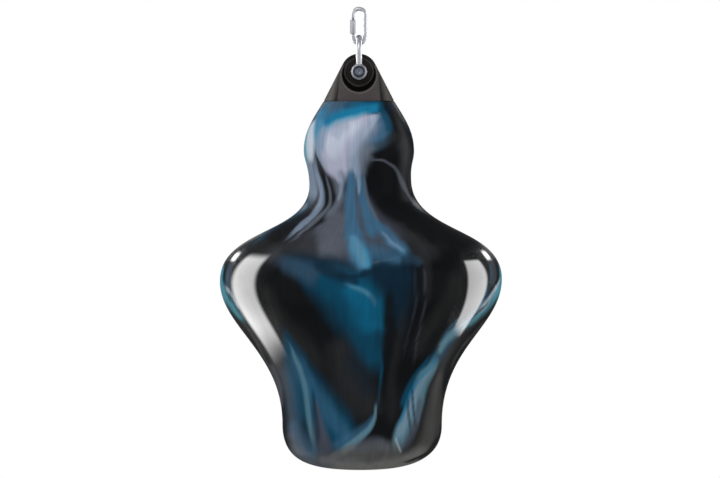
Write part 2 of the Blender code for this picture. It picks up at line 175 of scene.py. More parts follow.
# The groove's corners: how far in from the flange's rim, and how far down
GROOVE = ((0.004, 0), (0.0044, GROOVE_DEPTH), (0.0052, GROOVE_DEPTH), (0.0056, 0))
BARREL_LENGTH = 0.0115
VALVE_BORE = 0.012
SEAL_WIDTH = 0.018
SEAL_HEIGHT = 0.002
SEAL_ROUNDING = 0.0009
PLUG_HEAD = 0.022
PLUG_HEAD_HEIGHT = 0.005
PLUG_HEAD_ROUNDING = 0.0008
PLUG_SHANK = 0.0154
PLUG_SLOT = 0.003
PLUG_SLOT_DEPTH = 0.0022
PLUG_GRIPS = 24
GRIP_RADIUS = 0.0007
GRIP_LENGTH = 0.0075
GRIP_ROUND = 12
PLUG_PITCH = 0.002
PLUG_THREADS = 7
PLUG_THREAD_DEPTH = 0.0005
PLUG_ROUNDING = 0.0001

# The floor, and the scales of its noises
FLOOR_WIDTH = 2.4
FLOOR_HEIGHT = -2.0
FLOOR_ROUND = 128
FLOOR_CLOUD = 3.0
FLOOR_WEAR = 6.0

# The angles between faces, in degrees, past which an edge shows crisp, or is rounded. Faces that
# meet at less than the flat angle are merged before.
CRISP = 30
NEVER_CRISP = 180
WIRE_CRISP = 40
FLAT = 0.5
ROUNDED = 25
GRIPS_ROUNDED = 40

# How far the bag hangs out of line, in the photograph's pixels: (y, shift)
SWAY = ((100, 0), (155, 0), (182, 1.3), (216, 3.4), (240, 3.4), (262, 2.4), (300, 1.6),
        (350, 1.8), (400, 3.0), (440, 3.0), (462, 1.4), (475, 0.6))
WOBBLE = 0.00022  # how far the skin stands in and out of its smooth shape
WOBBLE_SCALE = 11.0
NEAR_AXIS = 0.02  # inside this radius the wobble fades out

UP = Vector((0, 1))
# The bolt lies along Z of this place, which points to the front
BOLT_PLACE = Matrix.Translation((0, 0, BOLT_HEIGHT)) @ Matrix.Rotation(pi / 2, 4, "X")


def linear(*display):
    """A colour as the shader takes it, from sRGB values of 0 to 255."""
    return tuple(((v / 255 + 0.055) / 1.055) ** 2.4 if v > 10 else v / 255 / 12.92 for v in display)


# Pigments of the marbled skin, some of them also laid as its painted reflections
INK = linear(17, 19, 21)
CHARCOAL = linear(44, 45, 47)
SLATE = linear(74, 78, 90)
STEEL = linear(62, 104, 134)
TEAL = linear(12, 68, 94)
NIGHT = linear(16, 38, 54)
BRIGHT_BLUE = linear(26, 118, 158)
PALE_TEAL = linear(96, 136, 152)
LAVENDER = linear(180, 182, 204)
MIST = linear(136, 154, 176)
CYAN = linear(90, 168, 188)
FOAM = linear(196, 210, 222)
SMOKE = linear(94, 100, 110)
ASH = linear(66, 66, 64)
STONE = linear(100, 101, 99)
AZURE = linear(82, 142, 174)
PETROL = linear(14, 98, 132)

# Colours of the other finishes, most of them a dark and a pale one
SATIN = linear(44, 41, 41), linear(62, 57, 57)
# Painted light and shade of the cap: a lit tone for its front faces, and a painted shade for its flanks
LIT_FACET = linear(62, 57, 58), linear(78, 72, 73)
FLANK_SHADE = linear(20, 19, 18), linear(54, 51, 48)
DISH_SHADE = linear(32, 30, 29), linear(9, 9, 9)  # painted shade of the recess's floor and of its wall
# Painted highlights along the recess's floor edge and along its rim
FOOT_HIGHLIGHT = linear(92, 89, 86)
LIP_HIGHLIGHT = linear(108, 104, 102)
SCUFFED = linear(96, 90, 90)
ZINC = (186, 188, 196), (222, 223, 228), (128, 126, 130)  # dull, bright and specks, before their tone
# A darker bluish grey for the bolt's end
BOLT_END_GREY = linear(112, 120, 134)
NYLON = linear(24, 34, 48), linear(52, 66, 84)
RUBBER = linear(24, 24, 25), linear(46, 45, 45)
WATER = linear(196, 226, 236), linear(232, 244, 248)
PALE_FLOOR = linear(236, 236, 235), linear(242, 242, 241)

# Where the cap's painted light and shade change: (from, to), in metres beyond the edge that each belongs to
FLANK_EDGE = (0.0004, 0.0018)
FLANK_FADE = (0.003, 0.011)
DISH_EDGE = (0.0004, 0.0009)
DISH_WALL = (0.0003, 0.0009)
DISH_FOOT = (-0.0014, 0.0003)
LIP_BAND = (-0.0006, 0.0013)
LIP_FADE = (0.0012, 0.0028)
HIGHLIGHT_SOFT = 0.0004
BOLT_END_SOFT = 0.0004

# Scales of the finishes' noises, and how high their grain stands, in metres
FIBRES_ROUND = 22.0
FIBRES_DOWN = 12.0
FIBRE_DEPTH = 0.18
FIBRE_DARKEST = 0.91
COAT_CLOUD = 9.0
SMUDGE = 22.0
PEEL = 130.0
PEEL_HEIGHT = 0.00002
SATIN_CLOUD = 60.0
SCUFF = 240.0
SPARK_GRAIN = 2600.0
SPARK_HEIGHT = 0.00006
ZINC_CLOUD = 180.0
ZINC_SPECK = 900.0
ZINC_GRAIN = 1400.0
ZINC_HEIGHT = 0.00001
NYLON_CLOUD = 400.0
NYLON_GRAIN = 2200.0
NYLON_HEIGHT = 0.00004
RUBBER_CLOUD = 300.0
RUBBER_GRAIN = 1800.0
RUBBER_HEIGHT = 0.00008
WATER_CLOUD = 12.0
TINY = 1e-6  # keeps a division off zero
MIX_SHARE, MIX_FIRST, MIX_SECOND, MIX_RESULT = 0, 6, 7, 2  # the sockets of a colour's Mix node

PAINT_LAYER = "marbling"

# Streaks at the front, from the first laid down to the last, painted reflections among them as marked.
# Each has its pigment, strength and softness, and then points (x, y, half width) in the photograph.
FRONT_STREAKS = (
    # Chest
    (SLATE, 0.9, 1.6, (338, 186, 12), (335, 204, 20), (328, 226, 32), (320, 246, 36), (314, 262, 30)),
    (SMOKE, 0.6, 1.8, (340, 206, 12), (338, 226, 18), (334, 244, 20), (330, 262, 14)),
    (SLATE, 0.85, 1.5, (362, 196, 12), (370, 216, 20), (380, 238, 24), (392, 258, 24)),
    (CHARCOAL, 0.8, 1.6, (270, 256, 10), (284, 250, 12), (304, 246, 16), (322, 242, 16)),
    (CHARCOAL, 0.9, 1.6, (402, 222, 8), (416, 236, 12), (430, 250, 12), (444, 262, 10)),
    (NIGHT, 0.9, 1.5, (278, 258, 8), (296, 263, 10), (322, 267, 11), (350, 268, 11), (384, 265, 15),
     (398, 280, 14), (402, 300, 10)),
    (NIGHT, 0.7, 1.9, (384, 268, 12), (396, 280, 18), (398, 298, 17), (394, 318, 13), (390, 336, 8)),
    # Head, above the pale patch
    (STEEL, 0.9, 1.4, (314, 126, 5), (322, 114, 11), (336, 104, 14), (354, 100, 11), (368, 97, 8)),
    (SLATE, 0.5, 1.4, (328, 108, 6), (336, 103, 9), (346, 102, 7), (354, 102, 5)),
    (INK, 0.95, 1.2, (402, 88, 18), (403, 110, 16), (404, 130, 15), (402, 160, 20), (400, 185, 26),
     (404, 206, 18), (410, 220, 10)),
    (NIGHT, 0.8, 1.4, (388, 98, 7), (397, 108, 8), (403, 118, 6), (407, 130, 5), (409, 144, 4)),
    (BRIGHT_BLUE, 1.0, 1.5, (319, 150, 3), (321, 140, 5), (325, 131, 6.5), (334, 121.5, 7), (346, 114, 7),
     (361, 108.5, 7), (375, 105.5, 5.4), (387, 104, 3)),
    (TEAL, 0.6, 1.6, (340, 106, 3), (352, 102, 4), (366, 99, 4), (380, 98, 3)),
    (CYAN, 0.55, 1.6, (321, 146, 1), (324, 136, 1.8), (332, 126, 2.2), (345, 118.5, 2.2), (360, 113, 2),
     (374, 110, 1.4)),
    (LAVENDER, 1.0, 0.7, (385, 112, 1.6), (375, 116, 3.4), (364, 123, 9), (351, 134, 15), (341, 147, 20.5),
     (341, 159, 19), (345, 170, 12.5), (350, 180, 6)),
    (FOAM, 0.5, 1.8, (366, 119, 3), (350, 129, 6), (336, 141, 8), (330, 152, 8), (334, 163, 5)),
    (MIST, 0.7, 1.4, (382, 114, 4), (373, 124, 8), (366, 138, 11), (360, 152, 11), (356, 166, 8),
     (354, 176, 5)),
    (MIST, 0.45, 1.8, (352, 122, 3), (340, 130, 5), (334, 140, 5)),
    (STEEL, 0.85, 1.8, (378, 108, 3), (383, 119, 5), (383, 131, 7), (377, 142, 7), (370, 151, 4)),
    (SMOKE, 0.6, 1.6, (374, 140, 5), (368, 152, 7), (364, 165, 6), (361, 178, 4)),
    (TEAL, 0.8, 1.3, (380, 104, 2), (384.5, 114, 3), (387.5, 125, 3.2), (388, 135, 2.4)),
    (INK, 0.95, 1.2, (393, 104, 3), (397, 118, 6), (400, 134, 8), (399, 146, 8)),
    (INK, 0.95, 1.2, (402, 144, 6), (392, 151, 6.4), (382, 156, 7), (374, 161, 5)),
    (CHARCOAL, 0.6, 1.7, (398, 132, 3), (390, 139, 4), (381, 144, 4), (373, 148, 3)),
    (INK, 0.9, 0.9, (325, 94, 4), (318, 105, 3.4), (312, 117, 2.4), (308, 127, 1.4)),
    # Head, at the left. Its first three strokes, a pale band down the edge, are a painted reflection of the
    # left strip
    (MIST, 0.8, 1.2, (317, 114, 1.4), (312.5, 126, 3.4), (309.5, 139, 4.6), (308.5, 153, 5),
     (309.5, 166, 4.6), (312, 179, 4.2), (313, 192, 3.6), (310, 206, 2.4)),
    (FOAM, 0.9, 1.4, (316, 117, 1.2), (312.5, 129, 3), (311, 141, 3.8), (311, 153, 3.4), (312, 165, 2.2)),
    (CYAN, 0.8, 1.2, (310, 122, 1.4), (306, 134, 2), (304.5, 148, 2.2), (305.5, 162, 2), (307.5, 178, 1.8),
     (308, 194, 1.4)),
    (BRIGHT_BLUE, 0.8, 1.4, (323, 106, 3), (320, 118, 3.8), (318, 130, 3.4), (317.5, 142, 2.4),
     (318, 152, 1)),
    (AZURE, 0.7, 1.6, (322, 118, 2), (319, 130, 3.4), (318, 142, 3), (319, 152, 1.6)),
    (MIST, 0.9, 1.6, (325, 124, 1.6), (322, 136, 3.6), (320, 148, 4.6), (321, 160, 4.6), (325, 169, 3)),
    (INK, 0.95, 0.8, (315, 148, 0.5), (316, 156, 1.2), (318, 163, 2.6), (321, 171, 4.4), (326, 181, 7),
     (329, 192, 8), (328, 204, 7), (320, 216, 6), (304, 228, 5), (288, 240, 3), (274, 250, 2)),
    (TEAL, 0.8, 1.2, (312, 196, 2), (306, 206, 3), (296, 214, 4), (278, 225, 5), (262, 235, 4),
     (246, 248, 3)),
    (INK, 0.85, 1.0, (318, 194, 2), (314, 206, 4), (306, 216, 5), (292, 226, 6), (276, 237, 7),
     (260, 250, 6)),
    # The next three thin lines down the neck are painted reflections of the side strips
    (MIST, 0.7, 1.0, (314.5, 152, 0.8), (316, 164, 1.4), (317.5, 174, 2), (320, 184, 2.7),
     (321.5, 194, 2.8), (319, 205, 3.2), (312, 216, 3.2), (302, 226, 2.4), (292, 235, 1.6), (281, 245, 1)),
    (MIST, 0.6, 1.0, (316.6, 168, 0.8), (318.5, 178, 1.2), (320.6, 189, 1.5), (320.5, 199, 1.5),
     (315, 210, 1.4)),
    (SMOKE, 0.9, 0.8, (324, 166, 0.6), (327, 178, 0.9), (329.6, 191, 1.3), (328.5, 203, 1.6),
     (322, 214, 1.9), (312, 224, 1.9), (299, 235, 1.4), (283, 247, 1)),
    (SMOKE, 1.0, 1.4, (336, 166, 4), (338, 176, 6), (339.5, 187, 5), (339.5, 198, 3.6), (331, 211, 3),
     (322, 220, 2)),
    (LAVENDER, 0.8, 1.3, (322, 148, 2), (326, 158, 4), (332, 168, 5), (338, 176, 3.4), (341, 184, 1.6)),
    (MIST, 0.6, 1.3, (338, 168, 3), (341, 180, 2.6), (340.5, 192, 1.8), (337, 202, 1.4)),
    (MIST, 0.5, 1.5, (346, 168, 3), (350, 176, 4), (352, 184, 3.4), (352, 194, 2)),
    # Neck and chest, in the middle
    (STEEL, 0.95, 1.0, (351, 164, 2), (351.5, 178, 4.4), (352, 194, 6), (352, 212, 7), (352, 230, 7.4),
     (353, 246, 7)),
    (STEEL, 0.9, 1.3, (360, 168, 3), (362, 184, 4.4), (364.5, 200, 5.4), (368, 216, 6), (371, 230, 6),
     (374, 242, 5)),
    (SLATE, 0.6, 1.5, (357.5, 182, 1.4), (358, 200, 2), (359, 218, 2.6), (360, 234, 2.4)),
    (MIST, 0.7, 1.4, (354, 152, 4), (356.5, 164, 3.6), (358.5, 175, 2.6), (360, 186, 1.7),
     (360.5, 197, 0.8)),
    (SMOKE, 0.7, 1.3, (363.5, 170, 1), (366, 184, 1.2), (369, 198, 1.3), (373, 211, 1.3), (379, 223, 1)),
    (INK, 0.95, 0.9, (366, 160, 2), (374, 170, 6), (379, 184, 10), (386, 198, 12.5), (399, 210, 12.5),
     (416, 222, 11), (434, 234, 10), (452, 246, 9)),
    (INK, 0.9, 1.2, (452, 236, 8), (450, 262, 16), (444, 290, 26), (432, 320, 24), (420, 350, 12)),
    # This thin line down the right of the neck is a painted reflection of the side strips
    (SMOKE, 0.62, 1.0, (366, 162, 0.6), (374, 161, 0.9), (383, 161, 1.2), (391, 163.5, 1.4),
     (396, 170, 1.6), (400, 180, 1.6), (405, 191, 1.6), (411.5, 201, 1.5), (419, 209.5, 1.3),
     (432, 217, 1)),
    (CHARCOAL, 0.9, 1.4, (396, 134, 5), (403, 150, 6), (407, 166, 4), (408.5, 182, 2.8), (410, 196, 2)),
    (STEEL, 0.95, 1.4, (352, 228, 6), (354, 240, 8), (357, 250, 9), (361, 260, 8), (363, 270, 5)),
    (BRIGHT_BLUE, 0.5, 1.4, (362, 246, 3), (365, 254, 4), (366, 262, 4), (366, 270, 3)),
    (AZURE, 0.8, 1.5, (352, 234, 2.4), (354, 244, 5), (358.5, 254, 6.4), (362, 262, 5.4), (363, 270, 3)),
    (PALE_TEAL, 0.4, 1.5, (354, 238, 1.4), (357, 248, 2.6), (360, 258, 2.6), (361, 266, 1.4)),
    (STEEL, 0.9, 1.3, (370, 216, 3), (378, 225, 4.4), (388, 236, 5.6), (399, 246, 5.8), (413, 256, 3.4)),
    (AZURE, 0.35, 1.6, (386, 238, 2), (396, 246, 3), (408, 252, 2.4)),
    (MIST, 0.4, 1.5, (380, 230, 1), (388, 238, 1.5), (396, 245, 1.8), (406, 252, 1.2)),
    (SMOKE, 0.45, 1.5, (369, 264, 0.6), (379, 262.5, 0.9), (389, 260.5, 0.9), (399, 257, 0.6)),
    (STEEL, 0.6, 1.6, (364, 252, 6), (378, 254, 9), (392, 258, 8), (404, 260, 5)),
    (NIGHT, 0.9, 1.5, (374, 268, 4), (386, 273, 8), (400, 276, 8), (414, 272, 5)),
    (STEEL, 0.25, 1.8, (386, 262, 3), (400, 260, 5), (416, 260, 5), (424, 266, 3)),
    # Torso
    (INK, 0.85, 1.4, (254, 262, 8), (268, 280, 12), (282, 300, 15), (298, 324, 20), (316, 350, 20),
     (338, 378, 18), (356, 398, 13), (368, 412, 8)),
    (TEAL, 0.9, 1.6, (270, 258, 3), (286, 263, 6), (304, 271, 9), (321, 281, 13), (338, 294, 17),
     (352, 310, 20), (363, 328, 18), (370, 346, 14), (374, 364, 9), (376, 382, 5)),
    (TEAL, 0.7, 1.6, (326, 268, 6), (344, 276, 10), (360, 286, 13), (372, 302, 13), (378, 320, 9)),
    (PETROL, 0.8, 1.9, (342, 280, 6), (355, 290, 11), (365, 306, 13), (370, 322, 10), (374, 338, 6)),
    (SLATE, 0.35, 1.8, (276, 260, 4), (292, 266, 8), (308, 272, 9), (322, 280, 7)),
    (NIGHT, 0.8, 1.4, (312, 262, 3), (324, 269, 5), (338, 274, 5.6), (352, 278, 4), (362, 282, 2)),
    (NIGHT, 0.7, 1.2, (330, 274, 0.8), (340, 274.5, 1.4), (352, 274, 1.8), (362, 274, 1.7), (374, 270, 1)),
    (STEEL, 0.6, 1.7, (342, 281, 1), (351, 284, 2), (360, 287.5, 2.6), (368, 292, 2.6), (374, 299, 2),
     (377, 309, 1)),
    (CYAN, 0.25, 1.9, (348, 283, 0.8), (358, 286, 1.6), (366, 290, 1.8), (372, 296, 1)),
    (PETROL, 0.4, 1.6, (379, 294, 1), (380, 308, 1.5), (380.5, 320, 1.4), (381, 334, 1)),
    (INK, 0.9, 1.0, (390, 286, 3), (389.5, 306, 5), (389.5, 330, 5.6), (389.5, 355, 6), (389, 380, 5.6),
     (388, 404, 4)),
    (NIGHT, 0.5, 1.9, (398, 280, 7), (400, 300, 8), (397, 322, 6)),
    (TEAL, 0.7, 1.4, (380.5, 344, 1.2), (382, 360, 1.6), (382, 374, 1.5), (379, 392, 1.2), (376, 412, 0.8)),
    (CHARCOAL, 0.7, 1.9, (334, 334, 8), (342, 356, 13), (350, 380, 17), (362, 402, 16), (374, 422, 10)),
    (NIGHT, 0.35, 1.9, (346, 352, 6), (360, 376, 8), (370, 398, 7)),
    (CHARCOAL, 0.45, 1.9, (421, 236, 3), (427, 254, 4), (429, 276, 4), (425, 306, 3)),
    (SLATE, 0.35, 1.4, (426, 262, 0.6), (426, 284, 0.8), (423, 308, 0.8), (418.5, 338, 0.9),
     (411, 370, 0.7)),
    (SLATE, 0.25, 1.5, (417, 262, 0.8), (416, 290, 1), (411, 326, 1), (403, 362, 0.8)),
    (CHARCOAL, 0.35, 1.9, (405, 300, 4), (400, 335, 4), (394, 372, 4), (392, 404, 5), (388, 430, 5)),
    (ASH, 0.22, 1.9, (262, 278, 4), (270, 300, 6), (286, 326, 8), (306, 352, 9), (328, 378, 8)),
    (ASH, 0.2, 1.9, (458, 262, 4), (454, 286, 6), (440, 312, 7), (424, 338, 6), (412, 362, 4)),
    # Base, at the left
    (TEAL, 0.85, 1.3, (283, 324, 2), (288, 340, 5), (295, 360, 10), (303, 382, 15), (314, 404, 19),
     (328, 422, 18), (342, 436, 13), (354, 446, 8)),
    (STEEL, 0.4, 1.7, (292, 342, 3), (300, 368, 6), (314, 392, 8), (328, 414, 8), (342, 434, 6),
     (352, 444, 4)),
    (NIGHT, 0.5, 1.6, (283, 362, 3), (287, 390, 5), (290, 416, 5), (294, 440, 5)),
    # A painted reflection of the floor: this grey stroke along the bottom
    (SMOKE, 0.35, 1.9, (290, 428, 4), (296, 442, 6), (306, 456, 7), (320, 464, 6)),
    (TEAL, 0.5, 1.7, (288, 362, 3), (292, 384, 5), (296, 408, 6), (300, 430, 5)),
    (PALE_TEAL, 0.6, 1.8, (287, 336, 0.8), (293, 350, 1.4), (300, 367, 1.9), (305, 385, 2.2),
     (308, 404, 2.3), (310, 422, 2.3), (312.5, 440, 2.2), (317, 460, 1.8)),
    (SLATE, 0.8, 1.5, (315, 396, 1.2), (317.5, 414, 2.8), (319.5, 432, 5), (323, 448, 7), (330, 460, 7)),
    (NIGHT, 0.7, 1.5, (312.5, 386, 0.8), (315, 408, 1.6), (317, 428, 1.8), (318, 448, 1.4)),
    (STEEL, 0.55, 1.7, (373, 412, 2), (368, 424, 3.4), (358, 435, 5), (344, 444, 6), (328, 452, 5)),
    (PALE_TEAL, 0.75, 1.3, (374.5, 398, 0.5), (374, 408, 1.1), (372.5, 418, 1.8), (368.5, 428, 2.4),
     (361, 437.5, 3), (350, 446, 3.4), (338, 453, 3)),
    # A painted reflection of the floor: this grey stroke along the bottom
    (STONE, 0.7, 1.5, (358, 444, 2.4), (344, 452, 3.6), (330, 459, 3.8), (316, 463, 2.6)),
    # Base, at the right
    (STEEL, 0.5, 1.6, (462, 314, 1), (453, 326, 2), (446, 337, 2.6), (439, 349, 2)),
    (TEAL, 0.9, 1.3, (468, 322, 2), (457, 333, 3.8), (447, 343, 4.6), (439, 353, 5), (432, 363, 5),
     (427, 373, 4)),
    (PALE_TEAL, 0.8, 1.3, (474, 319, 2), (462, 329, 2.8), (450, 338, 3.6), (441, 348, 3), (437, 356, 1.6)),
    (ASH, 0.8, 1.1, (441, 338, 0.5), (438, 346, 0.9), (436.5, 355, 1), (437, 364, 0.7)),
    (TEAL, 0.9, 1.2, (430, 352, 1), (423, 366, 2.4), (414, 380, 3), (406, 396, 3), (400, 410, 2)),
    (PALE_TEAL, 0.8, 0.7, (437, 350, 1.4), (431.5, 364, 4.4), (424, 378, 6.8), (419, 393, 7.2),
     (415, 407, 8), (410, 420, 9), (404, 432, 9.4), (400, 443, 7), (399, 454, 3)),
    (MIST, 0.36, 1.4, (433, 358, 1), (426, 374, 2.8), (418, 390, 3.6), (412, 405, 3.8), (406, 419, 4),
     (400, 432, 3.6), (397, 444, 2)),
    (BRIGHT_BLUE, 0.6, 1.2, (437, 350, 1), (431, 363, 1.4), (421, 376, 1.6), (413, 389, 1.7),
     (408, 402, 1.7), (402, 417, 1.6), (393, 433, 1.2)),
    (NIGHT, 0.75, 1.2, (412, 384, 0.6), (413, 400, 1.1), (414, 416, 1.2), (417, 432, 1)),
    (NIGHT, 0.7, 1.2, (409, 394, 0.6), (408.5, 410, 1.1), (410, 426, 1.1), (411, 440, 0.8)),
    (SLATE, 0.7, 1.4, (421, 394, 2), (419, 410, 2.8), (416, 425, 3.6), (410, 440, 4), (404, 452, 4)),
    # A painted grey reflection along the base's right edge
    (ASH, 0.7, 1.6, (442, 366, 1.4), (438, 384, 3), (436, 404, 6), (433, 426, 8.5), (425, 446, 9),
     (412, 460, 8)),
    # A painted reflection of the floor: this grey stroke along the bottom
    (SMOKE, 0.55, 1.7, (286, 444, 5), (302, 458, 6), (320, 463, 7), (344, 463, 6), (364, 462, 4)),
    (STEEL, 0.4, 1.8, (290, 418, 3), (298, 434, 6), (308, 448, 6), (318, 458, 4)),
    (SMOKE, 0.45, 1.7, (270, 362, 1), (275, 376, 2.6), (279, 392, 2.4), (280, 410, 1.6)),
    # The next three strokes are the painted grey reflection of the floor along the bottom
    (STONE, 1.0, 1.6, (318, 466, 5), (344, 468, 7.6), (368, 468, 8), (394, 465, 8.6), (416, 457, 7),
     (430, 444, 4)),
    (STONE, 0.55, 1.8, (338, 460, 4), (354, 455, 6), (372, 452, 7), (390, 450, 7), (408, 446, 5)),
    (SMOKE, 0.5, 1.9, (346, 450, 3), (362, 446, 5), (378, 444, 5), (392, 448, 3)),
    (CHARCOAL, 0.4, 1.6, (416, 418, 3), (413, 432, 5), (408, 444, 6), (404, 454, 4)),
    (FOAM, 0.5, 1.2, (394.5, 437, 0.4), (397.5, 443, 0.7), (400.5, 449, 0.7), (403, 453, 0.4)),
    (INK, 0.9, 1.1, (402, 462, 0.5), (413, 460, 1), (424, 455.5, 1.1), (434, 446, 1.2), (440, 433, 1.1),
     (443, 415, 1), (444.5, 396, 0.8)),
    # Shoulders, at the rims: painted reflections, the cyan, teal and grey sheen and the pale glints along the
    # edges
    (CYAN, 0.75, 1.4, (226, 258, 0.8), (223, 269, 1.4), (222, 280, 1.8), (224.5, 293, 2.4),
     (230, 304, 2.8), (237.5, 315, 2.6), (247, 328, 1.4)),
    (NIGHT, 0.7, 1.3, (225.5, 290, 0.5), (229, 299, 0.8), (235, 309, 0.8), (243, 320, 0.6)),
    (FOAM, 0.7, 1.4, (226, 284, 0.5), (228, 291, 1), (232, 298, 1.4), (236, 305, 1.2), (240, 312, 0.7)),
    (SMOKE, 0.45, 1.5, (246, 246, 1.4), (239, 254, 2), (232, 265, 2.2), (229, 277, 2.2), (229, 288, 1.6)),
    (STEEL, 0.5, 1.4, (231, 263, 0.8), (228, 274, 1.1), (228, 286, 1), (231, 296, 0.8)),
    (CYAN, 0.8, 1.4, (497, 258, 0.8), (500, 269, 1.4), (500.5, 281, 2), (497, 292, 3.2), (490, 302, 4),
     (481, 312, 4.2), (471, 322, 3.8), (460, 333, 2.8)),
    (PALE_TEAL, 0.85, 1.5, (498, 288, 1), (491, 298, 2.4), (484, 307, 2.8), (475, 316, 2), (466, 326, 1)),
    (FOAM, 0.8, 1.5, (500, 276, 0.5), (496, 288, 1.1), (490, 299, 2), (485, 307, 1.8), (478, 315, 0.8)),
    (NIGHT, 0.8, 1.2, (493, 296, 0.5), (486, 306, 1), (477, 315, 1.1), (467, 325, 1.1), (457, 336, 0.8)),
    (TEAL, 0.9, 1.3, (491, 280, 1.2), (486.5, 294, 1.9), (479, 306, 2), (470, 317, 1.9), (460, 327, 1.6)),
    (ASH, 0.7, 1.3, (488, 318, 0.5), (477, 330, 0.8), (465, 344, 0.9), (456, 358, 0.9), (449, 374, 0.7)),
    (SMOKE, 0.5, 1.5, (482, 247, 1.6), (487, 255, 2.2), (491.5, 265, 2.4), (493.5, 277, 2.2),
     (492, 288, 1.4)),
    (STEEL, 0.5, 1.4, (489, 262, 0.8), (491, 273, 1.1), (490, 284, 0.9)),
    (ASH, 0.9, 1.4, (242, 322, 0.7), (252, 337, 0.9), (262, 354, 0.9), (271, 371, 0.9), (278, 386, 0.7)),
)

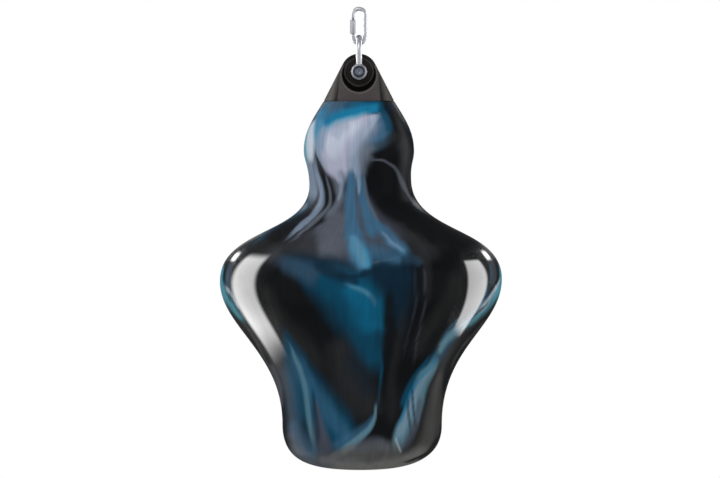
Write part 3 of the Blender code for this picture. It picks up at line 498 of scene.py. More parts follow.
# Streaks round the back and the sides. Here x runs round the bag, BACK_SPREAD for each radian
# from the middle of the back, and y is a row as before.
BACK_STREAKS = (
    (SLATE, 0.8, 1.7, (300, 104, 12), (308, 140, 18), (322, 180, 22), (330, 220, 26), (322, 252, 20)),
    (CHARCOAL, 0.8, 1.7, (430, 112, 12), (425, 160, 14), (418, 210, 18), (425, 250, 22), (440, 292, 18)),
    (NIGHT, 0.8, 1.6, (262, 120, 12), (258, 170, 14), (250, 220, 16), (244, 262, 18), (252, 300, 18)),
    (NIGHT, 0.8, 1.6, (470, 110, 10), (474, 160, 12), (480, 214, 12), (484, 250, 10)),
    (TEAL, 0.9, 1.6, (334, 258, 6), (318, 278, 12), (320, 304, 19), (338, 336, 20), (354, 370, 14),
     (362, 402, 8)),
    (PETROL, 0.7, 1.8, (326, 280, 7), (332, 306, 12), (344, 336, 12), (356, 366, 8)),
    (NIGHT, 0.7, 1.5, (396, 256, 8), (404, 280, 14), (400, 310, 14), (392, 342, 9)),
    (TEAL, 0.8, 1.5, (452, 262, 5), (456, 290, 10), (450, 320, 12), (440, 350, 12), (434, 386, 10),
     (430, 424, 8)),
    (CHARCOAL, 0.7, 1.8, (392, 340, 8), (382, 372, 14), (372, 404, 16), (366, 432, 10)),
    (BRIGHT_BLUE, 1.0, 1.4, (330, 116, 3), (346, 106, 6), (368, 106, 8), (390, 116, 8), (404, 134, 6),
     (408, 150, 3)),
    (LAVENDER, 1.0, 0.6, (342, 122, 4), (360, 129, 12), (377, 143, 17), (382, 160, 15), (375, 176, 9),
     (368, 190, 4)),
    (MIST, 0.8, 1.4, (350, 138, 7), (361, 156, 10), (364, 174, 7), (362, 190, 4)),
    (FOAM, 0.5, 1.8, (366, 124, 3), (382, 138, 6), (390, 154, 6), (386, 168, 3)),
    (SMOKE, 0.9, 1.0, (380, 174, 2.4), (385, 196, 3.2), (393, 214, 3), (410, 232, 2.4), (432, 248, 1.2)),
    (MIST, 0.6, 1.2, (369, 182, 1.8), (371, 204, 2.2), (375, 222, 2), (386, 240, 1.2)),
    (STEEL, 0.9, 1.3, (358, 174, 3), (355, 200, 6), (350, 222, 7), (347, 244, 7), (345, 264, 5)),
    (PALE_TEAL, 0.7, 1.4, (352, 232, 2), (350, 246, 4), (347, 260, 4), (342, 272, 2)),
    (INK, 0.9, 1.1, (342, 158, 3), (331, 180, 5), (318, 202, 5), (298, 222, 4), (272, 240, 3)),
    (SMOKE, 0.9, 1.0, (347, 168, 1.8), (339, 190, 2.8), (327, 210, 3), (306, 230, 2.4), (282, 247, 1.4)),
    (SMOKE, 0.8, 1.0, (326, 150, 1), (320, 174, 1.6), (310, 198, 2), (294, 220, 1.8), (270, 240, 1.2)),
    (INK, 0.9, 1.2, (404, 150, 6), (398, 172, 8), (402, 196, 10), (416, 220, 9), (438, 240, 7)),
    (STEEL, 0.7, 1.5, (356, 252, 5), (376, 250, 7), (396, 240, 6), (410, 228, 3)),
    (MIST, 0.8, 1.2, (268, 106, 1.6), (260, 126, 4), (256, 148, 5.4), (258, 172, 5), (264, 196, 3.6),
     (262, 214, 2)),
    (FOAM, 0.8, 1.4, (264, 116, 1.2), (259, 134, 3), (258, 152, 3.4), (261, 170, 2)),
    (BRIGHT_BLUE, 0.7, 1.5, (276, 110, 2), (270, 130, 3.4), (268, 154, 3), (272, 176, 1.6)),
    (PALE_TEAL, 0.8, 1.2, (452, 108, 1.6), (459, 132, 4), (458, 160, 4.6), (450, 188, 3.4), (442, 214, 2)),
    (FOAM, 0.5, 1.5, (458, 126, 1.2), (459, 146, 2.2), (455, 168, 1.6)),
    (TEAL, 0.9, 1.6, (232, 300, 4), (240, 326, 9), (252, 354, 10), (258, 384, 9), (254, 420, 7)),
    (STEEL, 0.5, 1.7, (236, 314, 2), (245, 338, 5), (254, 364, 5), (256, 394, 4)),
    (TEAL, 0.8, 1.6, (230, 310, 5), (238, 290, 8), (248, 272, 8), (262, 256, 6), (276, 244, 3)),
    (CYAN, 0.75, 1.5, (230, 306, 3), (237, 289, 4.4), (246, 273, 4), (258, 259, 3), (271, 248, 1.4)),
    (FOAM, 0.5, 1.4, (236, 296, 1), (243, 281, 1.6), (252, 268, 1.4), (263, 256, 0.7)),
    (NIGHT, 0.7, 1.2, (234, 300, 0.8), (241, 285, 1.2), (251, 270, 1.2), (263, 258, 0.8)),
    (SMOKE, 0.6, 1.4, (232, 214, 1.4), (238, 234, 2.2), (252, 252, 2.6), (272, 266, 2), (290, 278, 1)),
    (TEAL, 0.9, 1.6, (494, 296, 4), (482, 322, 9), (472, 352, 11), (470, 384, 9), (476, 416, 6)),
    (TEAL, 0.8, 1.6, (490, 296, 4), (480, 284, 8), (468, 272, 9), (454, 258, 7), (440, 246, 4)),
    (CYAN, 0.75, 1.5, (492, 292, 2), (482, 281, 5), (471, 270, 5), (459, 258, 3), (446, 248, 1.4)),
    (PALE_TEAL, 0.7, 1.4, (490, 284, 1.4), (479, 274, 2.4), (467, 263, 2), (455, 253, 1)),
    (NIGHT, 0.7, 1.2, (488, 290, 0.8), (477, 280, 1.2), (465, 268, 1.2), (452, 256, 0.8)),
    (STEEL, 0.5, 1.7, (478, 336, 2), (470, 358, 5), (466, 386, 5), (470, 414, 3)),
    (SMOKE, 0.6, 1.4, (488, 200, 1.4), (482, 224, 2.4), (468, 244, 2.8), (450, 258, 2), (430, 268, 1)),
    (CHARCOAL, 0.7, 1.8, (222, 250, 8), (226, 280, 10), (224, 330, 10), (230, 380, 10), (232, 430, 8)),
    (PALE_TEAL, 0.75, 0.9, (408, 346, 1.2), (399, 368, 4.4), (391, 392, 6.6), (386, 416, 8), (381, 440, 7),
     (378, 458, 3)),
    (MIST, 0.36, 1.4, (404, 354, 1), (395, 380, 3), (387, 408, 3.6), (381, 436, 3)),
    (BRIGHT_BLUE, 0.6, 1.3, (410, 342, 0.8), (404, 362, 1.3), (394, 384, 1.5), (386, 406, 1.5),
     (379, 428, 1.2)),
    (NIGHT, 0.75, 1.2, (390, 386, 0.6), (387, 410, 1.1), (387, 436, 1)),
    (TEAL, 0.85, 1.5, (262, 340, 4), (276, 366, 10), (292, 394, 16), (310, 424, 18), (330, 446, 12)),
    (STEEL, 0.5, 1.7, (292, 350, 3), (306, 380, 7), (322, 410, 8), (338, 438, 6)),
    (PALE_TEAL, 0.65, 1.6, (284, 336, 0.8), (292, 358, 1.8), (298, 384, 2.5), (301, 412, 2.6),
     (308, 446, 2.4)),
    (PALE_TEAL, 0.65, 1.4, (352, 404, 0.8), (350, 420, 2), (342, 434, 3), (326, 448, 3.6), (306, 458, 2.8)),
    (ASH, 0.75, 1.6, (452, 370, 3), (450, 398, 8), (446, 426, 10), (438, 450, 9)),
    # The last two strokes are the painted grey reflection of the floor along the bottom
    (SMOKE, 0.6, 1.7, (232, 448, 8), (262, 460, 9), (296, 466, 8)),
    (STONE, 0.8, 1.7, (280, 468, 7), (330, 466, 8), (380, 466, 9), (430, 462, 9), (486, 452, 8)),
)
BACK_SPREAD = 75.0  # pixels for each radian that a place is turned from the middle of the back
STREAK_TIP = 0.16  # the share of a streak's length over which each end fades out

# How the melt stirs the streaks, in pixels, and the waves of each noise for a metre
DRIFT = 3.0
DRIFT_SCALE = 14.0
RIPPLE_ACROSS = 1.2
RIPPLE_DOWN = 1.5
RIPPLE_SCALE = (60, 60, 21)
GRAIN_SCALE = (90, 90, 9)
GRAIN_DEPTH = 0.2
STIR_SEED = 3  # without a seed, this noise would differ at each run

# How polished the skin is. The coat shines on the shoulders. At the front each stroke of it has
# its strength, softness, and points (x, y, half width), and behind it lies between two rows.
DULL = 0.004
POLISH = (
    (1.0, 0.5, (278, 236, 10), (262, 249, 17), (247, 264, 20), (243, 283, 20), (250, 305, 20),
     (260, 323, 18), (271, 342, 14), (285, 363, 9)),
    (1.0, 0.35, (471, 244, 12), (478, 261, 17), (478, 284, 19), (472, 304, 17), (463, 319, 13),
     (452, 333, 7)),
)
BACK_POLISH = 0.95
LEFT_FADE = 0.55  # how much less the left stroke shines at its lower end
FLANK_DULLNESS = 0.8  # how much less the coat shines at the sides of the bag

# Where one look turns into the next: turns from the front, rows, and a share of the half width
BACK_TURN = (1.42, 1.72)
POLISH_TURN = (1.62, 1.92)
FLANK_BEGINS = (1.15, 1.40)
FLANK_ENDS = (1.75, 2.05)
FLANK_ROWS = (252, 264)
LEFT_FADE_ROWS = (318, 348)
SHOULDER_TOP = (228, 264)
SHOULDER_FOOT = (312, 348)
SHOULDER_SIDE = (0.66, 0.76)

# Light of the lamp, and of the room on what has no gloss
KEY_PLACE = (-0.9, -2.8, 2.0)
KEY_TARGET = (0, 0, -0.15)
KEY_WIDTH = 1.8
KEY_RADIANCE = 2.4  # in units of the white backdrop
AMBIENT = 0.78

# The studio that the gloss shows, with its lights in units of the white backdrop. First the
# strips and spots seen at the front, by side and rise as facing_strips says.
LEFT_INNER = 0.75
LEFT_OUTER = 0.908
LEFT_LEAN = 0.015
LEFT_BOW = 0.09
LEFT_SOFT = 0.02
LEFT_TOP = (0.55, 0.72)
LEFT_LIGHT = 4.7
RIGHT_INNER = 0.758
RIGHT_OUTER = 0.89
RIGHT_SOFT = 0.012
RIGHT_TOP = (0.47, 0.54)
RIGHT_LIGHT = 3.8
STRIP_BOW = 0.10
STRIP_FOOT = (-0.72, -0.64)
LEFT_SPOT = (0.935, 0.965)
RIGHT_SPOT = (0.93, 0.96)
SPOT_SOFT = 0.01
SPOT_RISE = (0.48, 0.66)
SPOT_RISE_SOFT = 0.05
SPOT_LIGHT = 5.5
# Then the strips that show from behind, by the parts of their direction.
NEAR_SIDES = (0.17, 0.62)
NEAR_SOFT = 0.03
NEAR_BOW = 1.5
NEAR_RISE = (-0.62, 0.50)
NEAR_RISE_SOFT = 0.06
NEAR_LIGHT = 1.3
# Last the room: where each side begins and is full, and its light.
BACKDROP = (0.95, 0.99, 0.2)
FRONT_WALL = (0.30, 0.60, 0.5)
CEILING = (0.55, 0.95, 0.3)
GROUND = (0.5, 0.95, 0.25)
ROOM_LIGHT = 0.06


def camera_aim():
    """Where the camera stands, and the point behind the middle of the photograph."""
    across = (PHOTO_WIDTH / 2 - HOOK_X) * PIXEL
    target = Vector((across, 0, (HOOK_Y - PHOTO_HEIGHT / 2) * PIXEL))
    return Vector((across, -CAMERA_DISTANCE, CAMERA_HEIGHT)), target


def in_photo(points):
    """The pixel columns and rows at which the photograph shows an array of points."""
    stand, target = camera_aim()
    reach = (target - stand).length
    right = Vector((1, 0, 0))
    ahead = (target - stand) / reach
    offset = points - np.array(stand)
    scale = reach / PIXEL / (offset @ np.array(ahead))
    column = PHOTO_WIDTH / 2 + offset @ np.array(right) * scale
    row = PHOTO_HEIGHT / 2 - offset @ np.array(right.cross(ahead)) * scale
    return column, row


def height_at(row):
    """The height that the photograph shows at a row of pixels."""
    return (HOOK_Y - row) * PIXEL


def smooth_line(points, steps=6):
    """The points of a smooth curve through the given ones, as an array."""
    rows = np.array(points, float)
    ends = np.vstack([2 * rows[0] - rows[1], rows, 2 * rows[-1] - rows[-2]])
    line = []
    for a, b, c, d in zip(ends, ends[1:], ends[2:], ends[3:]):
        bow = 2 * a - 5 * b + 4 * c - d
        twist = 3 * b - a - 3 * c + d
        for t in np.arange(steps) / steps:
            line.append(b + t * ((c - a) + t * (bow + t * twist)) / 2)
    return np.array([*line, rows[-1]])


def smooth(share):
    """A smooth step from 0 to 1."""
    share = np.clip(share, 0, 1)
    return share * share * (3 - 2 * share)


def ramp(value, low, high):
    """A smooth step from 0 to 1 as the value goes from low to high."""
    return smooth((value - low) / (high - low))


def noises(points, scale, kind=noise.noise):
    """A noise at each of the points, with its waves for a metre."""
    return np.array([kind(Vector(point)) for point in points * scale])


def coordinates(mesh):
    points = np.empty(len(mesh.vertices) * 3, np.float32)
    mesh.vertices.foreach_get("co", points)
    return points.reshape(-1, 3).astype(float)


def set_coordinates(mesh, points):
    mesh.vertices.foreach_set("co", points.astype(np.float32).ravel())
    mesh.update()


class Link:
    """A node's output, so that shader maths can be written as an expression."""

    def __init__(self, recipe, socket):
        self.recipe = recipe
        self.socket = socket

    def sibling(self, name):
        """Another output of the same node."""
        return Link(self.recipe, self.socket.node.outputs[name])

    def maths(self, operation, first, second):
        return self.recipe.add("ShaderNodeMath", {"operation": operation}, {0: first, 1: second})

    def __add__(self, other):
        return self.maths("ADD", self, other)

    __radd__ = __add__

    def __sub__(self, other):
        return self.maths("SUBTRACT", self, other)

    def __rsub__(self, other):
        return self.maths("SUBTRACT", other, self)

    def __mul__(self, other):
        return self.maths("MULTIPLY", self, other)

    __rmul__ = __mul__

    def __truediv__(self, other):
        return self.maths("DIVIDE", self, other)

    def __rtruediv__(self, other):
        return self.maths("DIVIDE", other, self)

    def __pow__(self, other):
        return self.maths("POWER", self, other)


class Recipe:
    """A node tree, to which nodes are added by one method."""

    def __init__(self, tree):
        self.tree = tree

    def add(self, kind, settings=(), sockets=(), output=0):
        """Adds a node: its settings are set first, and then its sockets get values or links."""
        node = self.tree.nodes.new(kind)
        for name, value in dict(settings).items():
            setattr(node, name, value)
        for name, value in dict(sockets).items():
            if isinstance(value, Link):
                self.tree.links.new(value.socket, node.inputs[name])
            else:
                node.inputs[name].default_value = value
        return Link(self, node.outputs[output])

    def place(self):
        return self.add("ShaderNodeTexCoord", output="Object")

    def noise(self, scale, detail=2.0, roughness=0.5, vector=None, distortion=0.0):
        sockets = {"Scale": scale, "Detail": detail, "Roughness": roughness, "Distortion": distortion}
        sockets["Vector"] = vector or self.place()
        return self.add("ShaderNodeTexNoise", sockets=sockets)

    def step(self, value, low, high):
        """A smooth step from 0 to 1 as the value goes from low to high."""
        settings = {"interpolation_type": "SMOOTHSTEP"}
        return self.add("ShaderNodeMapRange", settings, {"Value": value, "From Min": low, "From Max": high})

    def split(self, vector):
        """The three parts of a vector."""
        parts = self.add("ShaderNodeSeparateXYZ", sockets={"Vector": vector})
        return parts.sibling("X"), parts.sibling("Y"), parts.sibling("Z")

    def join(self, x, y, z):
        return self.add("ShaderNodeCombineXYZ", sockets={"X": x, "Y": y, "Z": z})

    def strip(self, value, low, high, soft):
        """1 between low and high, with soft edges, and 0 elsewhere."""
        return self.step(value, low - soft, low + soft) * (1 - self.step(value, high - soft, high + soft))

    def mix(self, share, first, second, blend="MIX"):
        """A colour between two colours, each of them an output or three values."""
        settings = {"data_type": "RGBA", "blend_type": blend}
        first, second = ((*end, 1) if isinstance(end, tuple) else end for end in (first, second))
        sockets = {MIX_SHARE: share, MIX_FIRST: first, MIX_SECOND: second}
        return self.add("ShaderNodeMix", settings, sockets, MIX_RESULT)


class Finish(Recipe):
    """A material, with the shader's constants given by the names of its sockets."""

    def __init__(self, name, constants):
        self.material = bpy.data.materials.new(name)
        self.material.use_nodes = True
        super().__init__(self.material.node_tree)
        self.shader = self.tree.nodes["Principled BSDF"]
        for socket, value in constants.items():
            self.shader.inputs[socket].default_value = value

    def feed(self, **sockets):
        """Links outputs to the shader's sockets."""
        for name, link in sockets.items():
            self.tree.links.new(link.socket, self.shader.inputs[name.replace("_", " ").title()])
        return self.material

    def bump(self, height, distance):
        return self.add("ShaderNodeBump", sockets={"Height": height, "Distance": distance, "Strength": 1.0})


def marbled_vinyl():
    """Glossy vinyl, marbled in the melt, with painted reflections in its colour layer, and fine fibres of
    pigment that run down the bag.
    """
    finish = Finish("marbled_vinyl", {"Specular IOR Level": 0.02, "Coat Roughness": 0.03, "Coat IOR": 1.85})
    place = finish.place()
    across, along, height = finish.split(place)
    radius = (across * across + along * along + TINY) ** 0.5
    round_x = across / radius * FIBRES_ROUND
    round_y = along / radius * FIBRES_ROUND
    drawn = finish.join(round_x, round_y, height * FIBRES_DOWN)
    fibre = finish.noise(1.0, detail=5.0, roughness=0.62, distortion=0.4, vector=drawn)
    depth = finish.step(fibre, 0.30, 0.72) * FIBRE_DEPTH + FIBRE_DARKEST
    shade = finish.join(depth, depth, depth)
    layer = finish.add("ShaderNodeAttribute", {"attribute_name": PAINT_LAYER})
    polish = layer.sibling("Alpha")
    cloud = finish.noise(COAT_CLOUD, detail=3.0, roughness=0.55, distortion=0.8, vector=place)
    smudge = finish.noise(SMUDGE, detail=4.0, roughness=0.6)
    return finish.feed(
        base_color=finish.mix(1.0, layer, shade, "MULTIPLY"),
        roughness=finish.step(smudge, 0.35, 0.75) * 0.10 + 0.3,
        coat_weight=polish * (1.0 - finish.step(cloud, 0.35, 0.75) * 0.15),
        normal=finish.bump(finish.noise(PEEL), PEEL_HEIGHT),
    )


def moulded(finish, colour, scuffing):
    """Satin plastic with a fine spark-eroded grain, and faint scuffs over its colour."""
    cloud = finish.noise(SATIN_CLOUD, detail=4.0, roughness=0.6)
    scuff = finish.noise(SCUFF, detail=5.0, roughness=0.7, distortion=1.5)
    scuff = finish.step(scuff, 0.60, 0.74)
    return finish.feed(
        base_color=finish.mix(scuff * scuffing, colour, SCUFFED),
        roughness=cloud * 0.10 + scuff * 0.08 + 0.38,
        normal=finish.bump(finish.noise(SPARK_GRAIN, roughness=0.6), SPARK_HEIGHT),
    )


def black_moulding():
    finish = Finish("black_moulding", {"IOR": 1.48, "Specular IOR Level": 0.3})
    colour = finish.mix(finish.noise(SATIN_CLOUD, detail=4.0, roughness=0.6), *SATIN)
    return moulded(finish, colour, scuffing=0.2)


def cap_moulding():
    """The cap's satin black, with painted light and shade: a lit tone on the front faces, painted shade on
    the flanks and in the recess, and painted highlights along the recess's edges.
    """
    finish = Finish("cap_moulding", {"IOR": 1.48, "Specular IOR Level": 0.12})
    across, along, height = finish.split(finish.place())
    drop = BOLT_HEIGHT - height
    out = (along * along) ** 0.5
    reach = (across * across + drop * drop) ** 0.5
    sunk = drop * FACET_SLOPE + FACET_EYE - out
    beside = reach - (out - DISH_DEPTH) * DISH_SLOPE - DISH_FLOOR
    beyond = reach - DISH_FLOOR
    # Painted light on the front faces, and painted shade on the flanks, darkest beside the front faces
    lit_facet = finish.mix(finish.noise(SATIN_CLOUD, detail=4.0, roughness=0.6), *LIT_FACET)
    shaded_flank = finish.mix(finish.step(sunk, *FLANK_FADE), *FLANK_SHADE)
    colour = finish.mix(finish.step(sunk, *FLANK_EDGE), lit_facet, shaded_flank)
    # Painted shade in the recess, darkest on its wall, with a painted highlight line at its floor's edge
    shaded_dish = finish.mix(finish.step(beyond, *DISH_WALL), *DISH_SHADE)
    shaded_dish = finish.mix(finish.strip(beyond, *DISH_FOOT, HIGHLIGHT_SOFT) * 0.8, shaded_dish, FOOT_HIGHLIGHT)
    colour = finish.mix(1 - finish.step(beside, *DISH_EDGE), colour, shaded_dish)
    # A painted highlight along the recess's rim, fading out onto the flanks
    lip = finish.strip(beside, *LIP_BAND, HIGHLIGHT_SOFT) * (1 - finish.step(sunk, *LIP_FADE))
    return moulded(finish, finish.mix(lip * 0.6, colour, LIP_HIGHLIGHT), scuffing=0.12)


def zinc_steel(name="zinc_steel", tone=1.0, dark_end=0.0):
    """Bright zinc plating on steel, a little clouded. A bolt's end is given a darker bluish grey."""
    finish = Finish(name, {"Metallic": 1.0})
    cloud = finish.noise(ZINC_CLOUD, detail=4.0, roughness=0.6, distortion=0.6)
    speck = finish.step(finish.noise(ZINC_SPECK, detail=4.0, roughness=0.7), 0.62, 0.78)
    dull, bright, spot = (linear(*(value * tone for value in colour)) for colour in ZINC)
    colour = finish.mix(speck * 0.45, finish.mix(cloud, dull, bright), spot)
    if dark_end:
        _, along, _ = finish.split(finish.place())
        colour = finish.mix(finish.step(0 - along, dark_end - BOLT_END_SOFT, dark_end), colour, BOLT_END_GREY)
    return finish.feed(
        base_color=colour,
        roughness=cloud * 0.08 + speck * 0.08 + 0.30,
        normal=finish.bump(finish.noise(ZINC_GRAIN, detail=3.0, roughness=0.6), ZINC_HEIGHT),
    )


def blue_nylon():
    finish = Finish("blue_nylon", {"IOR": 1.53})
    cloud = finish.noise(NYLON_CLOUD, detail=3.0, roughness=0.6)
    return finish.feed(
        base_color=finish.mix(cloud, *NYLON),
        roughness=cloud * 0.15 + 0.35,
        normal=finish.bump(finish.noise(NYLON_GRAIN), NYLON_HEIGHT),
    )


def black_rubber():
    finish = Finish("black_rubber", {"IOR": 1.5})
    cloud = finish.noise(RUBBER_CLOUD, detail=4.0, roughness=0.65)
    return finish.feed(
        base_color=finish.mix(cloud, *RUBBER),
        roughness=cloud * 0.15 + 0.70,
        normal=finish.bump(finish.noise(RUBBER_GRAIN, detail=3.0), RUBBER_HEIGHT),
    )


def water():
    finish = Finish("water", {"IOR": 1.33, "Transmission Weight": 1.0})
    cloud = finish.noise(WATER_CLOUD, detail=3.0)
    return finish.feed(base_color=finish.mix(cloud, *WATER), roughness=cloud * 0.04 + 0.02)


def as_object(name, shape, surface):
    mesh = bpy.data.meshes.new(name)
    shape.to_mesh(mesh)
    shape.free()
    made = bpy.data.objects.new(name, mesh)
    bpy.context.scene.collection.objects.link(made)
    made.data.materials.append(surface)
    return made


def apply_modifiers(made):
    """Puts the shape that the modifiers give into the mesh."""
    bpy.context.view_layer.update()
    graph = bpy.context.evaluated_depsgraph_get()
    made.data = bpy.data.meshes.new_from_object(made.evaluated_get(graph))
    made.modifiers.clear()


def melted(made, voxel, relaxing):
    """Melts a piece's parts into one skin, and relaxes it so that its edges run round."""
    remesh = made.modifiers.new("remesh", "REMESH")
    remesh.mode = "VOXEL"
    remesh.voxel_size = voxel
    relax = made.modifiers.new("relax", "SMOOTH")
    relax.factor = 0.5
    relax.iterations = relaxing
    apply_modifiers(made)


def combine(made, other, operation):
    """Joins or cuts with a helper solid, which isn't kept."""
    modifier = made.modifiers.new("cut", "BOOLEAN")
    modifier.operation = operation
    modifier.object = other
    modifier.solver = "EXACT"
    apply_modifiers(made)
    bpy.data.objects.remove(other)


def stands_for(made, body, node, place=None, angle=CRISP):
    """Puts a finished piece at its place, on its body, instead of the CAD node."""
    if place:
        made.data.transform(place)
    made.data.shade_smooth()
    made.data.set_sharp_from_angle(angle=radians(angle))
    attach(made, body)
    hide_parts(node)


def turned(points, around):
    """A solid turned about Z from points (radius, height). Off the axis, they make a ring."""
    shape = bmesh.new()
    verts = [shape.verts.new((radius, 0, height)) for radius, height in points]
    pairs = list(zip(verts, verts[1:]))
    if points[0][0] > 0:
        pairs.append((verts[-1], verts[0]))
    edges = [shape.edges.new(pair) for pair in pairs]
    bmesh.ops.spin(
        shape,
        geom=verts + edges,
        cent=(0, 0, 0),
        axis=(0, 0, 1),
        angle=2 * pi,
        steps=around,
        use_merge=True,
    )
    bmesh.ops.remove_doubles(shape, verts=shape.verts, dist=SAME_SPOT)
    bmesh.ops.recalc_face_normals(shape, faces=shape.faces)
    return shape


def eased(points, radius, steps=4):
    """The outline with its corners rounded, but for those on the axis."""
    result = []
    for k, point in enumerate(points):
        corner = Vector(point)
        if corner.x == 0:
            result.append(corner)
            continue
        before = Vector(points[k - 1]) - corner
        after = Vector(points[(k + 1) % len(points)]) - corner
        reach = min(radius, before.length / EASED_SHARE, after.length / EASED_SHARE)
        first = corner + reach * before.normalized()
        last = corner + reach * after.normalized()
        for share in (step / steps for step in range(steps + 1)):
            result.append(first.lerp(corner, share).lerp(corner.lerp(last, share), share))
    return result


def ring(bore, width, low, high, edge):
    """A flat ring with rounded edges, from the diameters of its hole and its rim."""
    outline = [(bore / 2, low), (width / 2, low), (width / 2, high), (bore / 2, high)]
    return turned(eased(outline, edge), STEEL_ROUND)


def cylinder(width, low, high, edge=0.0, around=STEEL_ROUND):
    outline = [(0, low), (width / 2, low), (width / 2, high), (0, high)]
    return turned(eased(outline, edge) if edge else outline, around)


def thread(width, depth, low, high, pitch):
    """The side of a thread, as points (radius, height)."""
    half_turns = round(2 * (high - low) / pitch)
    return [(width / 2 - depth * (k % 2), low + k * (high - low) / half_turns) for k in range(half_turns + 1)]


def prism(points, low, high):
    """An outline in X and Y, drawn out along Z."""
    shape = bmesh.new()
    base = shape.faces.new([shape.verts.new((x, y, low)) for x, y in points])
    drawn = bmesh.ops.extrude_face_region(shape, geom=[base])["geom"]
    raised = [part for part in drawn if isinstance(part, bmesh.types.BMVert)]
    bmesh.ops.translate(shape, verts=raised, vec=(0, 0, high - low))
    bmesh.ops.recalc_face_normals(shape, faces=shape.faces)
    return shape


def hexagon(name, surface, flats, edge, low, high):
    """A six-sided body about Z with a corner on the X axis, its corners taken off at both ends."""
    corner = flats / 2 / cos(pi / 6)
    points = [(corner * cos(k * pi / 3), corner * sin(k * pi / 3)) for k in range(6)]
    made = as_object(name, prism(points, low, high), surface)
    inner = flats / 2 - edge
    outer = corner + edge
    fall = (outer - inner) * tan(pi / 6)
    body = [(0, low), (inner, low), (outer, low + fall), (outer, high - fall), (inner, high), (0, high)]
    combine(made, as_object("corners", turned(body, STEEL_ROUND), surface), "INTERSECT")
    return made


def round_edges(made, width, angle=ROUNDED):
    """Bevels the edges at which the faces meet at more than an angle."""
    shape = bmesh.new()
    shape.from_mesh(made.data)
    bmesh.ops.dissolve_limit(shape, angle_limit=radians(FLAT), verts=shape.verts, edges=shape.edges)
    sharp = [edge for edge in shape.edges if edge.is_manifold and edge.calc_face_angle() > radians(angle)]
    bmesh.ops.bevel(
        shape,
        geom=sharp,
        offset=width,
        segments=2,
        profile=0.5,
        affect="EDGES",
        material=-1,
        clamp_overlap=True,
    )
    shape.to_mesh(made.data)
    shape.free()


def bent_rod(width, foot, moves):
    """A round rod from foot. A move is ("run", length, pitch, depth), along Z and with a thread
    where it has a depth, or ("bend", centre, axis), half a turn."""
    shape = bmesh.new()
    start = bmesh.ops.create_circle(shape, cap_ends=True, radius=width / 2, segments=WIRE_ROUND)
    bmesh.ops.translate(shape, verts=start["verts"], vec=foot)
    shape.faces.ensure_lookup_table()
    end = [shape.faces[0]]
    inside = []
    for kind, *move in moves:
        if kind == "bend":
            centre, axis = move
            drawn = bmesh.ops.spin(
                shape,
                geom=end,
                cent=centre,
                axis=axis,
                angle=pi,
                steps=BEND_STEPS,
            )["geom_last"]
            end = [part for part in drawn if isinstance(part, bmesh.types.BMFace)]
            inside += end
            continue
        run, pitch, depth = move
        half_turns = 2 * max(1, round(abs(run) / pitch))
        narrow = 1 - 2 * depth / width
        for k in range(half_turns):
            drawn = bmesh.ops.extrude_face_region(shape, geom=end)["geom"]
            ahead = [part for part in drawn if isinstance(part, bmesh.types.BMVert)]
            bmesh.ops.translate(shape, verts=ahead, vec=(0, 0, run / half_turns))
            middle = sum((vert.co for vert in ahead), Vector()) / len(ahead)
            grow = 1 / narrow if k % 2 else narrow
            bmesh.ops.scale(shape, verts=ahead, vec=(grow, grow, 1), space=Matrix.Translation(-middle))
            end = [part for part in drawn if isinstance(part, bmesh.types.BMFace)]
            inside += end
    bmesh.ops.delete(shape, geom=inside[:-1], context="FACES_ONLY")
    bmesh.ops.recalc_face_normals(shape, faces=shape.faces)
    return shape


def spans():
    """The bag's side from rim to base as cubic curves, each of four points (radius, height)."""
    drop = Vector((0, BOLT_HEIGHT))
    rim = drop + Vector((CAP_RIM + BAG_LIP, -CAP_DEPTH - GAP))
    head = drop + Vector((HEAD_RADIUS, -HEAD_DEPTH))
    neck = drop + Vector((NECK_RADIUS, -NECK_DEPTH))
    shoulder = drop + Vector((SHOULDER_RADIUS, -SHOULDER_DEPTH))
    waist = drop + Vector((WAIST_RADIUS, -WAIST_DEPTH))
    base = drop + Vector((0, -BASE_DEPTH))
    leave = Vector((RIM_SLOPE, -1)).normalized()
    return (
        (rim, rim + RIM_PULL * leave, head + HEAD_PULL_ABOVE * UP, head),
        (head, head - HEAD_PULL_BELOW * UP, neck + NECK_PULL_ABOVE * UP, neck),
        (neck, neck - NECK_PULL_BELOW * UP, shoulder + SHOULDER_PULL_ABOVE * UP, shoulder),
        (shoulder, shoulder - SHOULDER_PULL_BELOW * UP, waist + WAIST_PULL_ABOVE * UP, waist),
        (waist, waist - WAIST_PULL_BELOW * UP, base + Vector((BASE_PULL, 0)), base),
    )


def bag_side(inset, steps, first_span=0, start=0.0):
    """Points (radius, height) down the side from a span to the base, drawn in by inset."""
    points = []
    for number in range(first_span, len(steps)):
        a, b, c, d = spans()[number]
        begin = start if number == first_span else 0.0
        for k in range(steps[number]):
            share = begin + (1 - begin) * k / steps[number]
            rest = 1 - share
            point = rest**3 * a + 3 * rest**2 * share * b + 3 * rest * share**2 * c + share**3 * d
            way = rest**2 * (b - a) + 2 * rest * share * (c - b) + share**2 * (d - c)
            points.append(point - inset * Vector((-way.y, way.x)).normalized())
    points.append(Vector((0, BOLT_HEIGHT + inset - BASE_DEPTH)))
    return points


def hang(mesh, wobble=0.0):
    """Crowds the meridians at the front, and gives the bag its sway and its uneven skin."""
    points = coordinates(mesh)
    radius = np.hypot(points[:, 0], points[:, 1])
    turn = np.arctan2(points[:, 0], -points[:, 1])
    turn -= FRONT_CROWDING * np.sin(turn)
    points[:, 0] = radius * np.sin(turn)
    points[:, 1] = -radius * np.cos(turn)
    if wobble:
        away = noises(points, WOBBLE_SCALE)
        points[:, :2] *= (1 + wobble * away / np.maximum(radius, NEAR_AXIS))[:, None]
    line = smooth_line([(height_at(row), shift * PIXEL) for row, shift in reversed(SWAY)])
    points[:, 0] += np.interp(points[:, 2], line[:, 0], line[:, 1])
    set_coordinates(mesh, points)


